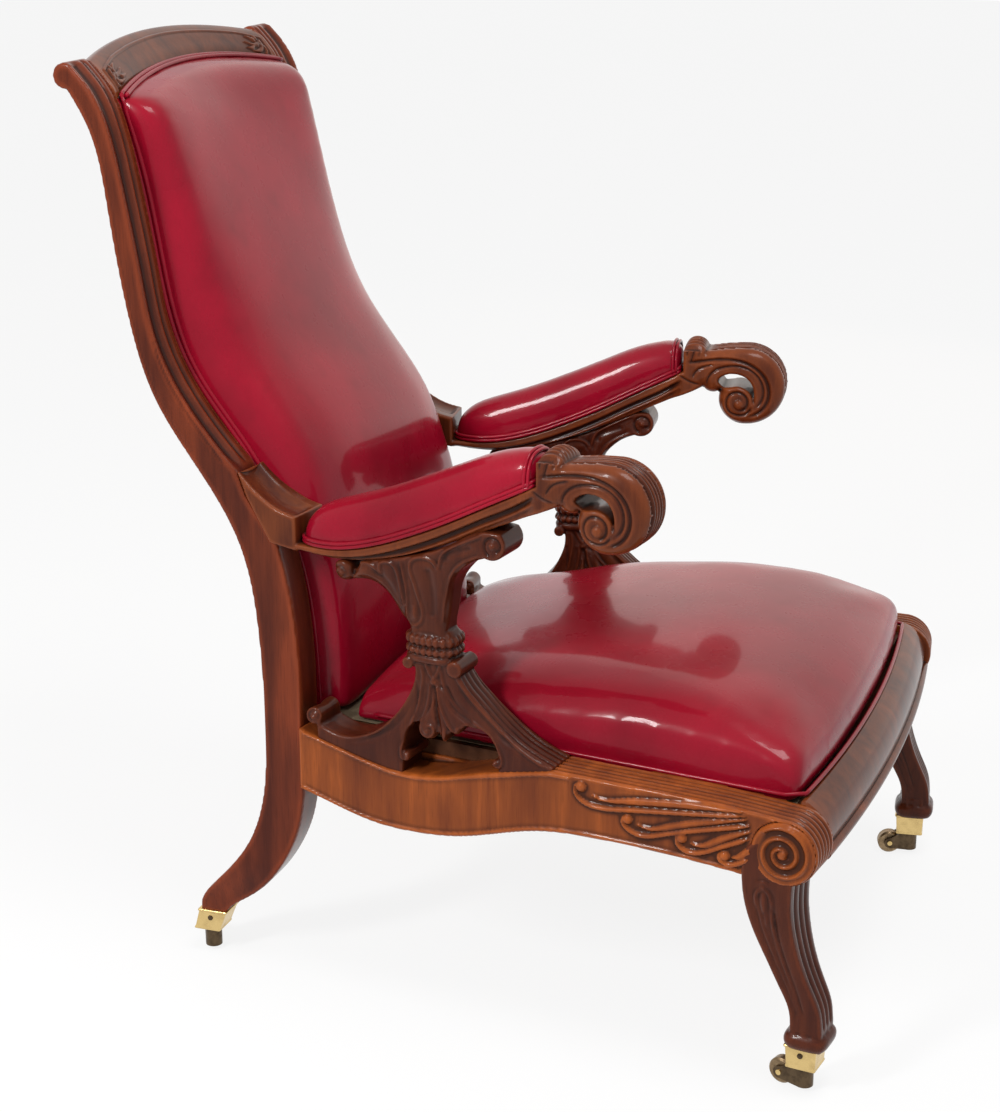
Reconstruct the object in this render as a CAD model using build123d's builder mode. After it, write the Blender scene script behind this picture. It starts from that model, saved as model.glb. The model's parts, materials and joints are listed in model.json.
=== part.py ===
from build123d import *
import os
from math import atan2, cos, degrees, pi, sin

# A library armchair of about 1830: mahogany show frame, crimson leather upholstery, brass castors.
# Millimetres, +Z up. The sitter looks along -Y, so the sitter's right hand is on the -X side.

# Driving sizes
chair_height = 1000.0       # floor to the top of the back uprights
drawing_depth = 1000.0      # full depth of the side drawing, of which the chair fills about nine tenths
front_width = 660.0         # over the rolls at the front of the side rails
back_width = 492.0          # over the two back uprights
upright_thickness = 47.0
rail_thickness = 60.0
arm_thickness = 58.0
support_thickness = 45.0
leg_foot_width = 40.0       # front leg, across, at its collar
seat_gap = 0.3              # small clearance between fitted pieces
soft_gap = 0.6              # clearance round a stuffed piece

# Stations of the side drawing, as shares of its depth and of the chair's height
origin_share = -0.0695
datum_share = 0.150
roll_share = (-0.460, 0.270)
rail_roll_radius = 35.0
deck_share = 0.296
rebate_share = 0.280

datum_y = (datum_share - origin_share) * drawing_depth
side_run = (datum_share - roll_share[0]) * drawing_depth
splay = atan2((front_width - back_width) / 2, side_run)


def place_y(share):
    """The part's own Y of a station of the side drawing."""
    return (share - origin_share) * drawing_depth


def flank(shares):
    """Stations to points on an upright's outer face, measured forwards from the datum and up."""
    return [((datum_share - y) * drawing_depth, z * chair_height) for y, z in shares]


def side(shares):
    """Stations to points on a side frame's outer face, which opens out to the front."""
    return [((datum_share - y) * drawing_depth / cos(splay), z * chair_height) for y, z in shares]


def side_x(share):
    """Half width over the side frames at a station."""
    return back_width / 2 + (datum_share - share) * drawing_depth * sin(splay) / cos(splay)


flank_plane = Plane(origin=(-back_width / 2, datum_y, 0), x_dir=(0, -1, 0), z_dir=(-1, 0, 0))
side_plane = Plane(
    origin=(-back_width / 2, datum_y, 0),
    x_dir=(-sin(splay), -cos(splay), 0),
    z_dir=(-cos(splay), sin(splay), 0),
)
inner_x = back_width / 2 - upright_thickness


def write(builder, name):
    builder.part.label = name
    export_step(builder.part, "parts/" + name + ".step")


os.makedirs("parts", exist_ok=True)

# Castor sizes
wheel_diameter = 28.0
wheel_width = 13.0
wheel_edge = 2.0
axle_diameter = 4.0
trail = 25.0                # pivot to axle
cheek_thickness = 2.5
cheek_gap = 0.5             # wheel face to cheek
neck_lift = 5.0             # floor to the underside of the horn's neck
horn_gap = 0.3              # horn to cup
cup_lift = 31.0             # floor to the underside of the cup
cup_foot = 31.0
cup_mouth = 34.0
cup_depth = 24.0
cup_wall = 2.0
cup_floor = 3.0
lip_height = 3.0
lip_proud = 1.2
pivot_diameter = 6.0
pivot_head = 10.0
pivot_head_height = 2.0
fit = 0.05                  # radial clearance of a running fit
screw_head = 6.0
screw_length = 9.0
screw_head_height = 0.8
screw_height = 45.0         # floor to a screw
screw_shank = 3.0
screw_sink = 0.6            # depth of the seat cut for a screw's head
axle_head = 6.0
axle_head_height = 1.0
pivot_foot = 12.0           # floor to the lower end of a pivot
neck_radius = 9.5
boss_radius = 6.5

cup_top = cup_lift + cup_depth
cheek_points = (
    (0, neck_lift), (0, cup_lift - lip_height), (neck_radius, cup_lift - lip_height),
    (trail, wheel_diameter / 2 + boss_radius), (trail, wheel_diameter / 2 - boss_radius), (0, neck_lift),
)
rear_rake = 8.0             # the rear cup leans back by this much at its foot
front_pivot_share = -0.4855
rear_pivot_share = 0.2225

# Castor places: name, pivot X, pivot Y, turn of the cup, lean of the cup, turn of the trail
front_castor_x = side_x(front_pivot_share) - rail_thickness / 2
rear_castor_x = (back_width - upright_thickness) / 2
castor_trails = {
    "front_right": 72.0,
    "front_left": 108.0,
    "rear_right": 28.0,
    "rear_left": 152.0,
}


def castor_place(name):
    front = name.startswith("front")
    x = front_castor_x if front else rear_castor_x
    y = place_y(front_pivot_share if front else rear_pivot_share)
    return (-x if name.endswith("right") else x), y


def cup_plane(name, height):
    """Level plane at a cup, turned with the leg that the cup is on."""
    x, y = castor_place(name)
    turn = degrees(splay) if name.startswith("front") else 0
    turn = -turn if name.endswith("right") else turn
    return Plane(origin=(x, y, height), x_dir=(cos(turn * pi / 180), sin(turn * pi / 180), 0))


def cup_lean(name, height):
    """How far forwards of the pivot a rear cup's section lies at a height."""
    if name.startswith("front"):
        return 0
    return -rear_rake * (height - cup_lift) / cup_depth


def cup_section(name, height, size):
    with BuildSketch(cup_plane(name, height)) as section:
        with Locations((0, cup_lean(name, height))):
            Rectangle(size, size)
    return section


def cup_size(height, inset):
    """Outer size of a cup at a height, less an inset on each side."""
    share = (height - cup_lift) / cup_depth
    return cup_foot + (cup_mouth - cup_foot) * share - 2 * inset


def tenon_sections(name):
    """The leg's tenon stands in the cup, above the riveted head of the pivot."""
    low = cup_lift + cup_floor + 2 * pivot_head_height
    inset = cup_wall + seat_gap
    return [cup_section(name, z, cup_size(z, inset)) for z in (low, cup_top)]


def trail_plane(name, height):
    """Level plane at a pivot, with its own X along the castor's trail."""
    x, y = castor_place(name)
    turn = castor_trails[name] * pi / 180
    return Plane(origin=(x, y, height), x_dir=(cos(turn), sin(turn), 0))


def cheek_plane(name, across=0):
    """Upright plane along a castor's trail."""
    x, y = castor_place(name)
    turn = castor_trails[name] * pi / 180
    middle = Plane(origin=(x, y, 0), x_dir=(cos(turn), sin(turn), 0), z_dir=(sin(turn), -cos(turn), 0))
    return middle.offset(across)


def screw_plane(name):
    """Upright plane at the outer face of a cup, facing away from the chair."""
    level = cup_plane(name, screw_height)
    outward = -1 if name.endswith("right") else 1
    reach = outward * (cup_size(screw_height, 0) / 2 - screw_sink)
    origin = level.from_local_coords(Vector(reach, cup_lean(name, screw_height), 0))
    return Plane(origin=origin, x_dir=level.y_dir * outward, z_dir=level.x_dir * outward)


# Screws that hold the cups to the legs
with BuildPart() as castor_screws:
    for name in castor_trails:
        with BuildSketch(screw_plane(name)):
            Circle(screw_head / 2)
        extrude(amount=screw_head_height + screw_sink)
        with BuildSketch(screw_plane(name)):
            Circle(screw_shank / 2)
        extrude(amount=-screw_length)

castors = []
for name in castor_trails:
    with BuildPart() as cup:
        outer = [cup_section(name, z, cup_size(z, 0)).sketch.face() for z in (cup_lift, cup_top)]
        add(loft(outer, ruled=True, mode=Mode.PRIVATE))
        lip_base = cup_top - lip_height
        add(cup_section(name, lip_base, cup_size(cup_top, -lip_proud)).sketch)
        extrude(amount=lip_height)
        cavity = [
            cup_section(name, z, cup_size(z, cup_wall)).sketch.face()
            for z in (cup_lift + cup_floor, cup_top)
        ]
        add(loft(cavity, ruled=True, mode=Mode.PRIVATE), mode=Mode.SUBTRACT)
        with BuildSketch(trail_plane(name, cup_lift)):
            Circle(pivot_diameter / 2 + fit)
        extrude(amount=cup_floor, mode=Mode.SUBTRACT)
        add(castor_screws.part, mode=Mode.SUBTRACT)
    with BuildPart() as pivot:
        with BuildSketch(trail_plane(name, pivot_foot)):
            Circle(pivot_diameter / 2)
        extrude(amount=cup_lift + cup_floor + horn_gap - pivot_foot)
        with BuildSketch(trail_plane(name, cup_lift + cup_floor + horn_gap)):
            Circle(pivot_head / 2)
        extrude(amount=pivot_head_height)
    with BuildPart() as axle:
        half_axle = wheel_width / 2 + cheek_gap + cheek_thickness
        for outward in (1, -1):
            with BuildSketch(cheek_plane(name)):
                with Locations((trail, wheel_diameter / 2)):
                    Circle(axle_diameter / 2)
            extrude(amount=outward * half_axle)
            with BuildSketch(cheek_plane(name, outward * half_axle)):
                with Locations((trail, wheel_diameter / 2)):
                    Circle(axle_head / 2)
            extrude(amount=outward * axle_head_height)
    with BuildPart() as horn:
        with BuildSketch(trail_plane(name, neck_lift)):
            Circle(neck_radius)
        extrude(amount=cup_lift - horn_gap - neck_lift)
        for start in (wheel_width / 2 + cheek_gap, -half_axle):
            with BuildSketch(cheek_plane(name, start)):
                with BuildLine():
                    Polyline(*cheek_points)
                make_face()
                with Locations((trail, wheel_diameter / 2)):
                    Circle(boss_radius)
            extrude(amount=cheek_thickness)
        add(pivot.part, mode=Mode.SUBTRACT)
        add(axle.part, mode=Mode.SUBTRACT)
    with BuildPart() as wheel:
        with BuildSketch(cheek_plane(name, -wheel_width / 2)):
            with Locations((trail, wheel_diameter / 2)):
                Circle(wheel_diameter / 2)
        extrude(amount=wheel_width)
        chamfer(edges().filter_by(GeomType.CIRCLE), wheel_edge)
        with BuildSketch(cheek_plane(name, -wheel_width / 2)):
            with Locations((trail, wheel_diameter / 2)):
                Circle(axle_diameter / 2 + fit)
        extrude(amount=wheel_width, mode=Mode.SUBTRACT)
    castors += [
        (cup, "castor_cup_" + name), (pivot, "castor_pivot_" + name), (axle, "castor_axle_" + name),
        (horn, "castor_horn_" + name), (wheel, "castor_wheel_" + name),
    ]

cup_top_share = cup_top / chair_height

# Back uprights: sabre leg, raked post and rolled-over top in one timber
upright_back_shares = (
    (0.223, cup_top_share), (0.201, 0.100), (0.165, 0.146), (0.145, 0.203), (0.139, 0.290),
    (0.144, 0.410), (0.163, 0.501), (0.217, 0.591), (0.255, 0.651), (0.283, 0.741),
    (0.302, 0.860), (0.319, 0.935), (0.341, 0.973),
)
upright_tip_share = (0.356, 0.984)
upright_front_shares = (
    (0.335, 0.998), (0.313, 0.973), (0.296, 0.935), (0.283, 0.879), (0.266, 0.785),
    (0.252, 0.716), (0.224, 0.657), (0.180, 0.600), (0.163, 0.581),
)
scarf_shares = ((0.163, 0.581), (0.152, 0.553), (0.118, 0.506))
leg_shin_shares = ((0.118, 0.506), (0.109, 0.472), (0.102, 0.435), (0.0965, 0.385), (0.0945, 0.335))
leg_foot_shares = (
    (0.0945, 0.215), (0.101, 0.178), (0.119, 0.135), (0.149, 0.095), (0.178, 0.072), (0.194, cup_top_share),
)

with BuildPart() as upright_right:
    with BuildSketch(flank_plane):
        with BuildLine():
            Spline(*flank(upright_back_shares))
            ThreePointArc(*flank((upright_back_shares[-1], upright_tip_share, upright_front_shares[0])))
            Spline(*flank(upright_front_shares))
            Polyline(*flank(scarf_shares))
            Spline(*flank(leg_shin_shares))
            Line(*flank((leg_shin_shares[-1], leg_foot_shares[0])))
            Spline(*flank(leg_foot_shares))
            Line(*flank((leg_foot_shares[-1], upright_back_shares[0])))
        make_face()
    extrude(amount=-upright_thickness)
    tenon = [section.sketch.face() for section in tenon_sections("rear_right")]
    add(loft(tenon, ruled=True, mode=Mode.PRIVATE))
    add(castor_screws.part, mode=Mode.SUBTRACT)

with BuildPart() as upright_left:
    mirror(upright_right.part, about=Plane.YZ)

# Arms: rear end scarfed to the upright, platform for the pad, and the rolled-over scroll
arm_under_shares = (
    (0.124, 0.506), (0.090, 0.501), (0.060, 0.498), (0.020, 0.500), (-0.032, 0.513),
    (-0.090, 0.535), (-0.134, 0.555), (-0.185, 0.579), (-0.212, 0.591),
)
hook_shares = ((-0.212, 0.591), (-0.221, 0.584), (-0.232, 0.588))
ring_shares = ((-0.232, 0.588), (-0.238, 0.556), (-0.262, 0.5465))
sweep_shares = ((-0.262, 0.5465), (-0.3085, 0.593), (-0.262, 0.6395))
scroll_top_shares = ((-0.262, 0.6395), (-0.240, 0.638), (-0.214, 0.634))
leaf_shares = ((-0.214, 0.634), (-0.201, 0.647), (-0.188, 0.636))
platform_shares = (
    (-0.188, 0.609), (-0.165, 0.597), (-0.130, 0.579), (-0.090, 0.558), (-0.040, 0.535),
    (0.010, 0.517), (0.050, 0.5095), (0.092, 0.509),
)
arm_shoulder_shares = ((0.092, 0.541), (0.120, 0.552), (0.142, 0.564), (0.163, 0.581))
arm_hidden_shares = ((0.163, 0.581), (0.170, 0.570), (0.140, 0.506), (0.124, 0.506))
crescent_share = (-0.252, 0.5825)
crescent_radius = 21.5
crescent_ring_share = (-0.2555, 0.5695)
crescent_ring_radius = 21.0
scroll_eye_share = (-0.2555, 0.5695)
spiral_radius = 17.0
spiral_step = 2.6
spiral_turns = 2
carving_line = 2.0          # width of an incised line
carving_depth = 1.8
band_shares = ((-0.200, 0.622), (-0.230, 0.6215), (-0.256, 0.6255))
band_turn_shares = ((-0.256, 0.6255), (-0.2895, 0.594), (-0.2655, 0.5595))


def spiral(centre, radius, step, turns):
    """A volute of half circles about two centres, each smaller than the last."""
    x, y = centre
    shift = step / 2
    for half in range(2 * turns):
        sign = 1 if half % 2 == 0 else -1
        middle = x + sign * shift
        size = radius - half * step
        start = (middle + sign * size, y)
        end = (middle - sign * size, y)
        ThreePointArc(start, (middle, y - sign * size), end)


with BuildPart() as arm_right:
    with BuildSketch(side_plane):
        with BuildLine():
            Spline(*side(arm_under_shares))
            ThreePointArc(*side(hook_shares))
            ThreePointArc(*side(ring_shares))
            ThreePointArc(*side(sweep_shares))
            Spline(*side(scroll_top_shares))
            ThreePointArc(*side(leaf_shares))
            Line(*side((leaf_shares[-1], platform_shares[0])))
            Spline(*side(platform_shares))
            Line(*side((platform_shares[-1], arm_shoulder_shares[0])))
            Spline(*side(arm_shoulder_shares))
            Polyline(*side(arm_hidden_shares))
        make_face()
    extrude(amount=-arm_thickness)
    with BuildSketch(side_plane):
        with Locations(side((crescent_share,))[0]):
            Circle(crescent_radius)
        with Locations(side((crescent_ring_share,))[0]):
            Circle(crescent_ring_radius, mode=Mode.SUBTRACT)
    extrude(amount=-arm_thickness, mode=Mode.SUBTRACT)
    with BuildSketch(side_plane):
        with BuildLine() as lines:
            spiral(side((scroll_eye_share,))[0], spiral_radius, spiral_step, spiral_turns)
        trace(lines.edges(), line_width=carving_line)
    extrude(amount=-carving_depth, mode=Mode.SUBTRACT)
    with BuildSketch(side_plane):
        with BuildLine() as lines:
            Spline(*side(band_shares))
            ThreePointArc(*side(band_turn_shares))
        trace(lines.edges(), line_width=carving_line)
    extrude(amount=-carving_depth, mode=Mode.SUBTRACT)
    add(upright_right.part, mode=Mode.SUBTRACT)
    with BuildSketch(Plane.XY):
        with Locations((0, place_y(datum_share))):
            Rectangle(2 * (inner_x + seat_gap), 2 * side_run)
    extrude(amount=chair_height, mode=Mode.SUBTRACT)

with BuildPart() as arm_left:
    mirror(arm_right.part, about=Plane.YZ)

# Front rail: bowed ovolo board between the rolls, bead along its lower edge
front_bow = 17.0
front_edge_share = -0.467
reed_band = 48.0            # width of the reeded top of a side rail, outside the seat
front_rail_shares = ((-0.442, 0.250), (-0.442, 0.280), (-0.4825, 0.280), (-0.4825, 0.307), (-0.490, 0.307))
front_ovolo_shares = ((-0.490, 0.307), (-0.507, 0.290), (-0.511, 0.262))
front_bead_shares = ((-0.511, 0.262), (-0.516, 0.256), (-0.511, 0.250))
front_half = side_x(front_edge_share) - reed_band
bow_radius = (front_half ** 2 + front_bow ** 2) / (2 * front_bow)
bow_centre = place_y(front_rail_shares[-1][0]) + bow_radius
bow_half_angle = degrees(atan2(front_half + rail_thickness, bow_radius))
bow_axis = Axis((0, bow_centre, 0), (0, 0, 1))
bow_start = Plane(
    origin=(0, bow_centre, 0),
    x_dir=(-sin(bow_half_angle * pi / 180), -cos(bow_half_angle * pi / 180), 0),
    z_dir=(-cos(bow_half_angle * pi / 180), sin(bow_half_angle * pi / 180), 0),
)


def bowed(shares):
    """Stations to points across the bowed front rail, measured out from the centre of the bow."""
    return [(bow_centre - place_y(y), z * chair_height) for y, z in shares]


def mirrored_plane(plane):
    """The same plane on the other side of the chair, facing outwards."""
    return Plane(
        origin=(-plane.origin.X, plane.origin.Y, plane.origin.Z),
        x_dir=(-plane.x_dir.X, plane.x_dir.Y, 0),
        z_dir=(-plane.z_dir.X, plane.z_dir.Y, 0),
    )


reed_plane = side_plane.offset(-reed_band)

with BuildPart() as front_rail:
    with BuildSketch(bow_start):
        with BuildLine():
            Polyline(*bowed(front_rail_shares))
            ThreePointArc(*bowed(front_ovolo_shares))
            ThreePointArc(*bowed(front_bead_shares))
            Line(*bowed((front_bead_shares[-1], front_rail_shares[0])))
        make_face()
    revolve(axis=bow_axis, revolution_arc=2 * bow_half_angle)
    split(bisect_by=reed_plane, keep=Keep.BOTTOM)
    split(bisect_by=mirrored_plane(reed_plane), keep=Keep.BOTTOM)


# Side rails: serpentine board with a spiral volute and a reeded top that turns over the front roll
reed_count = 6
reed_groove = 1.8           # radius of the hollow between two reeds
volute_radius = 31.0
volute_proud = 3.0
volute_step = 2.9
rail_under_shares = (
    (0.0945, 0.229), (0.055, 0.219), (0.000, 0.207), (-0.050, 0.206), (-0.100, 0.212),
    (-0.190, 0.237), (-0.270, 0.243), (-0.350, 0.242), (-0.417, 0.238), (-0.460, 0.235),
)
rail_top_shares = (
    (-0.210, 0.309), (-0.177, 0.302), (-0.137, 0.293), (-0.077, 0.277), (-0.030, 0.273),
    (0.017, 0.280), (0.055, 0.289), (0.0945, 0.299),
)
rail_level_shares = ((-0.460, 0.305), (-0.400, 0.3085), (-0.300, 0.309), (-0.210, 0.309))
roll_x, roll_z = roll_share
roll_front_share = roll_x - rail_roll_radius / drawing_depth
rail_rear_share = 0.0945
rail_notch_share = -0.450    # in front of this the rail is only as wide as its reeds

with BuildPart() as seat_notch:
    with BuildSketch(side_plane.offset(-reed_band)):
        with BuildLine():
            Polyline(*side((
                (rail_rear_share, rebate_share), (rail_notch_share, rebate_share),
                (rail_notch_share, front_rail_shares[0][1]), (2 * roll_x, front_rail_shares[0][1]),
                (2 * roll_x, 2 * rebate_share), (rail_rear_share, 2 * rebate_share),
                (rail_rear_share, rebate_share),
            )))
        make_face()
    extrude(amount=-rail_thickness)

with BuildPart() as side_rail_plain:
    with BuildSketch(side_plane):
        with BuildLine():
            Spline(*side(rail_under_shares))
            ThreePointArc(*side((rail_under_shares[-1], (roll_front_share, roll_z), rail_level_shares[0])))
            Spline(*side(rail_level_shares))
            Spline(*side(rail_top_shares))
            Line(*side((rail_top_shares[-1], rail_under_shares[0])))
        make_face()
    extrude(amount=-rail_thickness)
    with BuildSketch(side_plane):
        with Locations(side((roll_share,))[0]):
            Circle(volute_radius)
    extrude(amount=volute_proud)
    add(seat_notch.part, mode=Mode.SUBTRACT)
    add(front_rail.part, mode=Mode.SUBTRACT)
    add(upright_right.part, mode=Mode.SUBTRACT)

reed_pitch = reed_band / reed_count
with BuildPart() as side_rail_right:
    add(side_rail_plain.part)
    with BuildSketch(side_plane.offset(volute_proud)):
        with BuildLine() as lines:
            spiral(side((roll_share,))[0], volute_radius - carving_line, volute_step, 3)
        trace(lines.edges(), line_width=carving_line)
    extrude(amount=-carving_depth, mode=Mode.SUBTRACT)
    for reed in range(1, reed_count):
        groove_plane = side_plane.offset(-reed * reed_pitch)
        with BuildSketch(groove_plane):
            with BuildLine() as lines:
                Spline(*side(rail_level_shares))
                CenterArc(side((roll_share,))[0], rail_roll_radius, -90, 180)
            trace(lines.edges(), line_width=2 * reed_groove)
        extrude(amount=reed_groove / 2, both=True, mode=Mode.SUBTRACT)

with BuildPart() as side_rail_left:
    mirror(side_rail_right.part, about=Plane.YZ)

# Front legs: S-shaped, reeded in front, with a carved collar over the cup
leg_proud = 2.5             # leg face in front of the rail face
leg_reeds = 4
leg_reed_height = 4.0
leg_reed_gap = 1.6
leg_rear_shares = (
    (-0.417, 0.255), (-0.417, 0.235), (-0.421, 0.205), (-0.431, 0.175), (-0.444, 0.147),
    (-0.458, 0.118), (-0.468, 0.095), (-0.470, 0.075),
)
leg_front_shares = (
    (-0.500, 0.075), (-0.497, 0.098), (-0.488, 0.120), (-0.477, 0.148), (-0.470, 0.175),
    (-0.466, 0.205), (-0.467, 0.240),
)
leg_ear_shares = ((-0.467, 0.240), (-0.440, 0.2825), (-0.417, 0.255))
collar_height = 22.0
collar_depth = 42.0
collar_round = 8.0
collar_proud = 3.0
leg_taper_share = 0.095
leg_shoulder_share = 0.245


def leg_outline(forward):
    """Outline of a front leg, with its front edge moved forwards for the reeds."""
    rear = side(leg_rear_shares)
    front = [(u + forward, v) for u, v in side(leg_front_shares)]
    with BuildLine() as outline:
        Spline(*rear)
        Polyline(rear[-1], (rear[-1][0], cup_top), (front[0][0], cup_top), front[0])
        Spline(*front)
        ThreePointArc(front[-1], side(leg_ear_shares)[1], rear[0])
    return outline.edges()


leg_front_plane = Plane(
    origin=side_plane.from_local_coords(Vector(side((roll_share,))[0][0], 0, 0)),
    x_dir=(cos(splay), -sin(splay), 0),
    z_dir=(-sin(splay), -cos(splay), 0),
)
leg_shoulder = leg_shoulder_share * chair_height
leg_ankle = leg_taper_share * chair_height
leg_top = rail_level_shares[-1][1] * chair_height
leg_top_width = rail_thickness + leg_proud


def leg_strip(near, far):
    """Front view of a slice of the leg, between two shares of its width."""
    foot_start = (rail_thickness - leg_foot_width) / 2
    points = []
    for share, rising in ((near, True), (far, False)):
        top = -leg_proud + share * leg_top_width
        foot = foot_start + share * leg_foot_width
        run = [(foot, cup_top), (foot, leg_ankle), (top, leg_shoulder), (top, leg_top)]
        points += run if rising else run[::-1]
    return points + [points[0]]


with BuildPart() as leg_reed_part:
    with BuildSketch(side_plane.offset(leg_proud)):
        make_face(leg_outline(leg_reed_height))
    extrude(amount=-leg_top_width)
    with BuildSketch(leg_front_plane):
        inset = leg_reed_gap / leg_top_width / 2
        for reed in range(leg_reeds):
            with BuildLine():
                Polyline(*leg_strip(reed / leg_reeds + inset, (reed + 1) / leg_reeds - inset))
            make_face()
    extrude(amount=side_run / 2, both=True, mode=Mode.INTERSECT)

with BuildPart() as front_leg_right:
    with BuildSketch(side_plane.offset(leg_proud)):
        make_face(leg_outline(0))
    extrude(amount=-leg_top_width)
    with BuildSketch(leg_front_plane):
        with BuildLine():
            Polyline(*leg_strip(0, 1))
        make_face()
    extrude(amount=side_run / 2, both=True, mode=Mode.INTERSECT)
    add(leg_reed_part.part)
    with BuildSketch(cup_plane("front_right", cup_top)):
        RectangleRounded(leg_foot_width + 2 * collar_proud, collar_depth, collar_round)
    extrude(amount=collar_height)
    add(side_rail_plain.part, mode=Mode.SUBTRACT)
    add(front_rail.part, mode=Mode.SUBTRACT)
    add(seat_notch.part, mode=Mode.SUBTRACT)
    tenon = [section.sketch.face() for section in tenon_sections("front_right")]
    add(loft(tenon, ruled=True, mode=Mode.PRIVATE))
    add(castor_screws.part, mode=Mode.SUBTRACT)

with BuildPart() as front_leg_left:
    mirror(front_leg_right.part, about=Plane.YZ)

# Arm supports: neck, carved collar and two feet that run out along the side rail
support_start = 2.0         # outer face of the support inside the side frame's outer face
support_head_shares = (
    (0.036, 0.476), (0.008, 0.479), (-0.005, 0.474), (-0.018, 0.461), (-0.028, 0.447),
    (-0.037, 0.437), (-0.043, 0.428),
)
support_heel_shares = (
    (-0.044, 0.404), (-0.045, 0.380), (-0.040, 0.364), (-0.032, 0.348), (-0.020, 0.332),
    (-0.004, 0.318), (0.012, 0.307), (0.030, 0.301), (0.050, 0.302), (0.072, 0.309),
)
support_base_shares = (
    (0.072, 0.286), (0.017, 0.270), (-0.047, 0.264), (-0.107, 0.275), (-0.208, 0.300),
)
support_toe_shares = (
    (-0.208, 0.311), (-0.173, 0.325), (-0.157, 0.335), (-0.138, 0.350), (-0.118, 0.368),
    (-0.106, 0.380), (-0.096, 0.394), (-0.086, 0.404),
)
support_neck_shares = (
    (-0.080, 0.431), (-0.082, 0.442), (-0.086, 0.464), (-0.092, 0.494), (-0.102, 0.508),
    (-0.116, 0.519), (-0.130, 0.525),
)
support_curl_shares = ((-0.130, 0.525), (-0.151, 0.532), (-0.148, 0.552))
support_top_shares = ((-0.150, 0.570), (-0.090, 0.545), (-0.032, 0.522), (0.030, 0.507), (0.036, 0.476))
head_scroll_radius = 12.0
head_scroll_back = 3.0      # its centre behind the first point of the head
head_scroll_rise = 9.0
heel_scroll_radius = 9.0
heel_scroll_back = 5.0      # its centre behind the last point of the heel
heel_scroll_rise = 7.0
opening_rear_shares = (
    (-0.033, 0.302), (-0.036, 0.317), (-0.044, 0.329), (-0.053, 0.333),
)
opening_leaf_shares = ((-0.053, 0.333), (-0.072, 0.317), (-0.095, 0.334))
opening_front_shares = (
    (-0.095, 0.334), (-0.112, 0.3365), (-0.126, 0.336), (-0.140, 0.324), (-0.146, 0.308),
)
opening_base_shares = ((-0.146, 0.308), (-0.146, 0.260), (-0.033, 0.260), (-0.033, 0.302))
toe_curl_rises = (0.291, 0.304)
toe_curl_reach = 3.5        # their centres from the opening's two ends
toe_curl_radius = 5.2
support_collar_shares = ((-0.0905, 0.404), (-0.0325, 0.431))
support_collar_proud = 4.0
support_collar_round = 4.0
support_waist_shares = (
    (0.000, 0.260), (0.000, 0.310), (0.080, 0.350), (0.120, 0.404), (0.120, 0.431),
    (0.060, 0.480), (0.000, 0.520), (0.000, 0.600),
)


def support_front(shares):
    """Edges of the support's front view, in from both faces by shares of its thickness."""
    outer = [(support_start + share * support_thickness, z * chair_height) for share, z in shares]
    inner = [(2 * support_start + support_thickness - w, z) for w, z in outer]
    return outer, inner


def scroll_centre(station, back, rise):
    """A scroll's centre, behind and above the end of the outline that it closes."""
    ((forward, up),) = side((station,))
    return forward - back, up + rise


def toe_curl_centres():
    """The curls hang on the opening's two ends."""
    (rear, low), (front, high) = zip((opening_rear_shares[0][0], opening_front_shares[-1][0]), toe_curl_rises)
    ends = side(((rear, low), (front, high)))
    return [(x + reach, z) for (x, z), reach in zip(ends, (toe_curl_reach, -toe_curl_reach))]


with BuildPart() as arm_support_right:
    with BuildSketch(side_plane.offset(-support_start)):
        with BuildLine():
            Spline(*side(support_head_shares))
            Line(*side((support_head_shares[-1], support_heel_shares[0])))
            Spline(*side(support_heel_shares))
            Polyline(*side((support_heel_shares[-1],) + support_base_shares + (support_toe_shares[0],)))
            Spline(*side(support_toe_shares))
            Line(*side((support_toe_shares[-1], support_neck_shares[0])))
            Spline(*side(support_neck_shares))
            ThreePointArc(*side(support_curl_shares))
            Polyline(*side((support_curl_shares[-1],) + support_top_shares))
        make_face()
        with BuildLine():
            Spline(*side(opening_rear_shares))
            ThreePointArc(*side(opening_leaf_shares))
            Spline(*side(opening_front_shares))
            Polyline(*side(opening_base_shares))
        make_face(mode=Mode.SUBTRACT)
        with Locations(*toe_curl_centres()):
            Circle(toe_curl_radius)
        with Locations(scroll_centre(support_head_shares[0], head_scroll_back, head_scroll_rise)):
            Circle(head_scroll_radius)
        with Locations(scroll_centre(support_heel_shares[-1], heel_scroll_back, heel_scroll_rise)):
            Circle(heel_scroll_radius)
    extrude(amount=-support_thickness)
    outer, inner = support_front(support_waist_shares)
    with BuildSketch(leg_front_plane):
        with BuildLine():
            Spline(*outer)
            Line(outer[-1], inner[-1])
            Spline(*inner[::-1])
            Line(inner[0], outer[0])
        make_face()
    extrude(amount=side_run, both=True, mode=Mode.INTERSECT)
    (near, low), (far, high) = side(support_collar_shares)
    with BuildSketch(side_plane.offset(support_collar_proud - support_start)):
        with Locations(((near + far) / 2, (low + high) / 2)):
            RectangleRounded(near - far, high - low, support_collar_round)
    extrude(amount=-(support_thickness + 2 * support_collar_proud))
    add(arm_right.part, mode=Mode.SUBTRACT)
    add(side_rail_plain.part, mode=Mode.SUBTRACT)

with BuildPart() as arm_support_left:
    mirror(arm_support_right.part, about=Plane.YZ)

# Arm pads: stuffed rolls of leather on the platforms of the arms
pad_bulge = 2.0
pad_sink = 5.0              # the sections start this far below the platform and are cut to it
pad_wall_share = 0.55       # part of a section's height that stands upright
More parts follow.
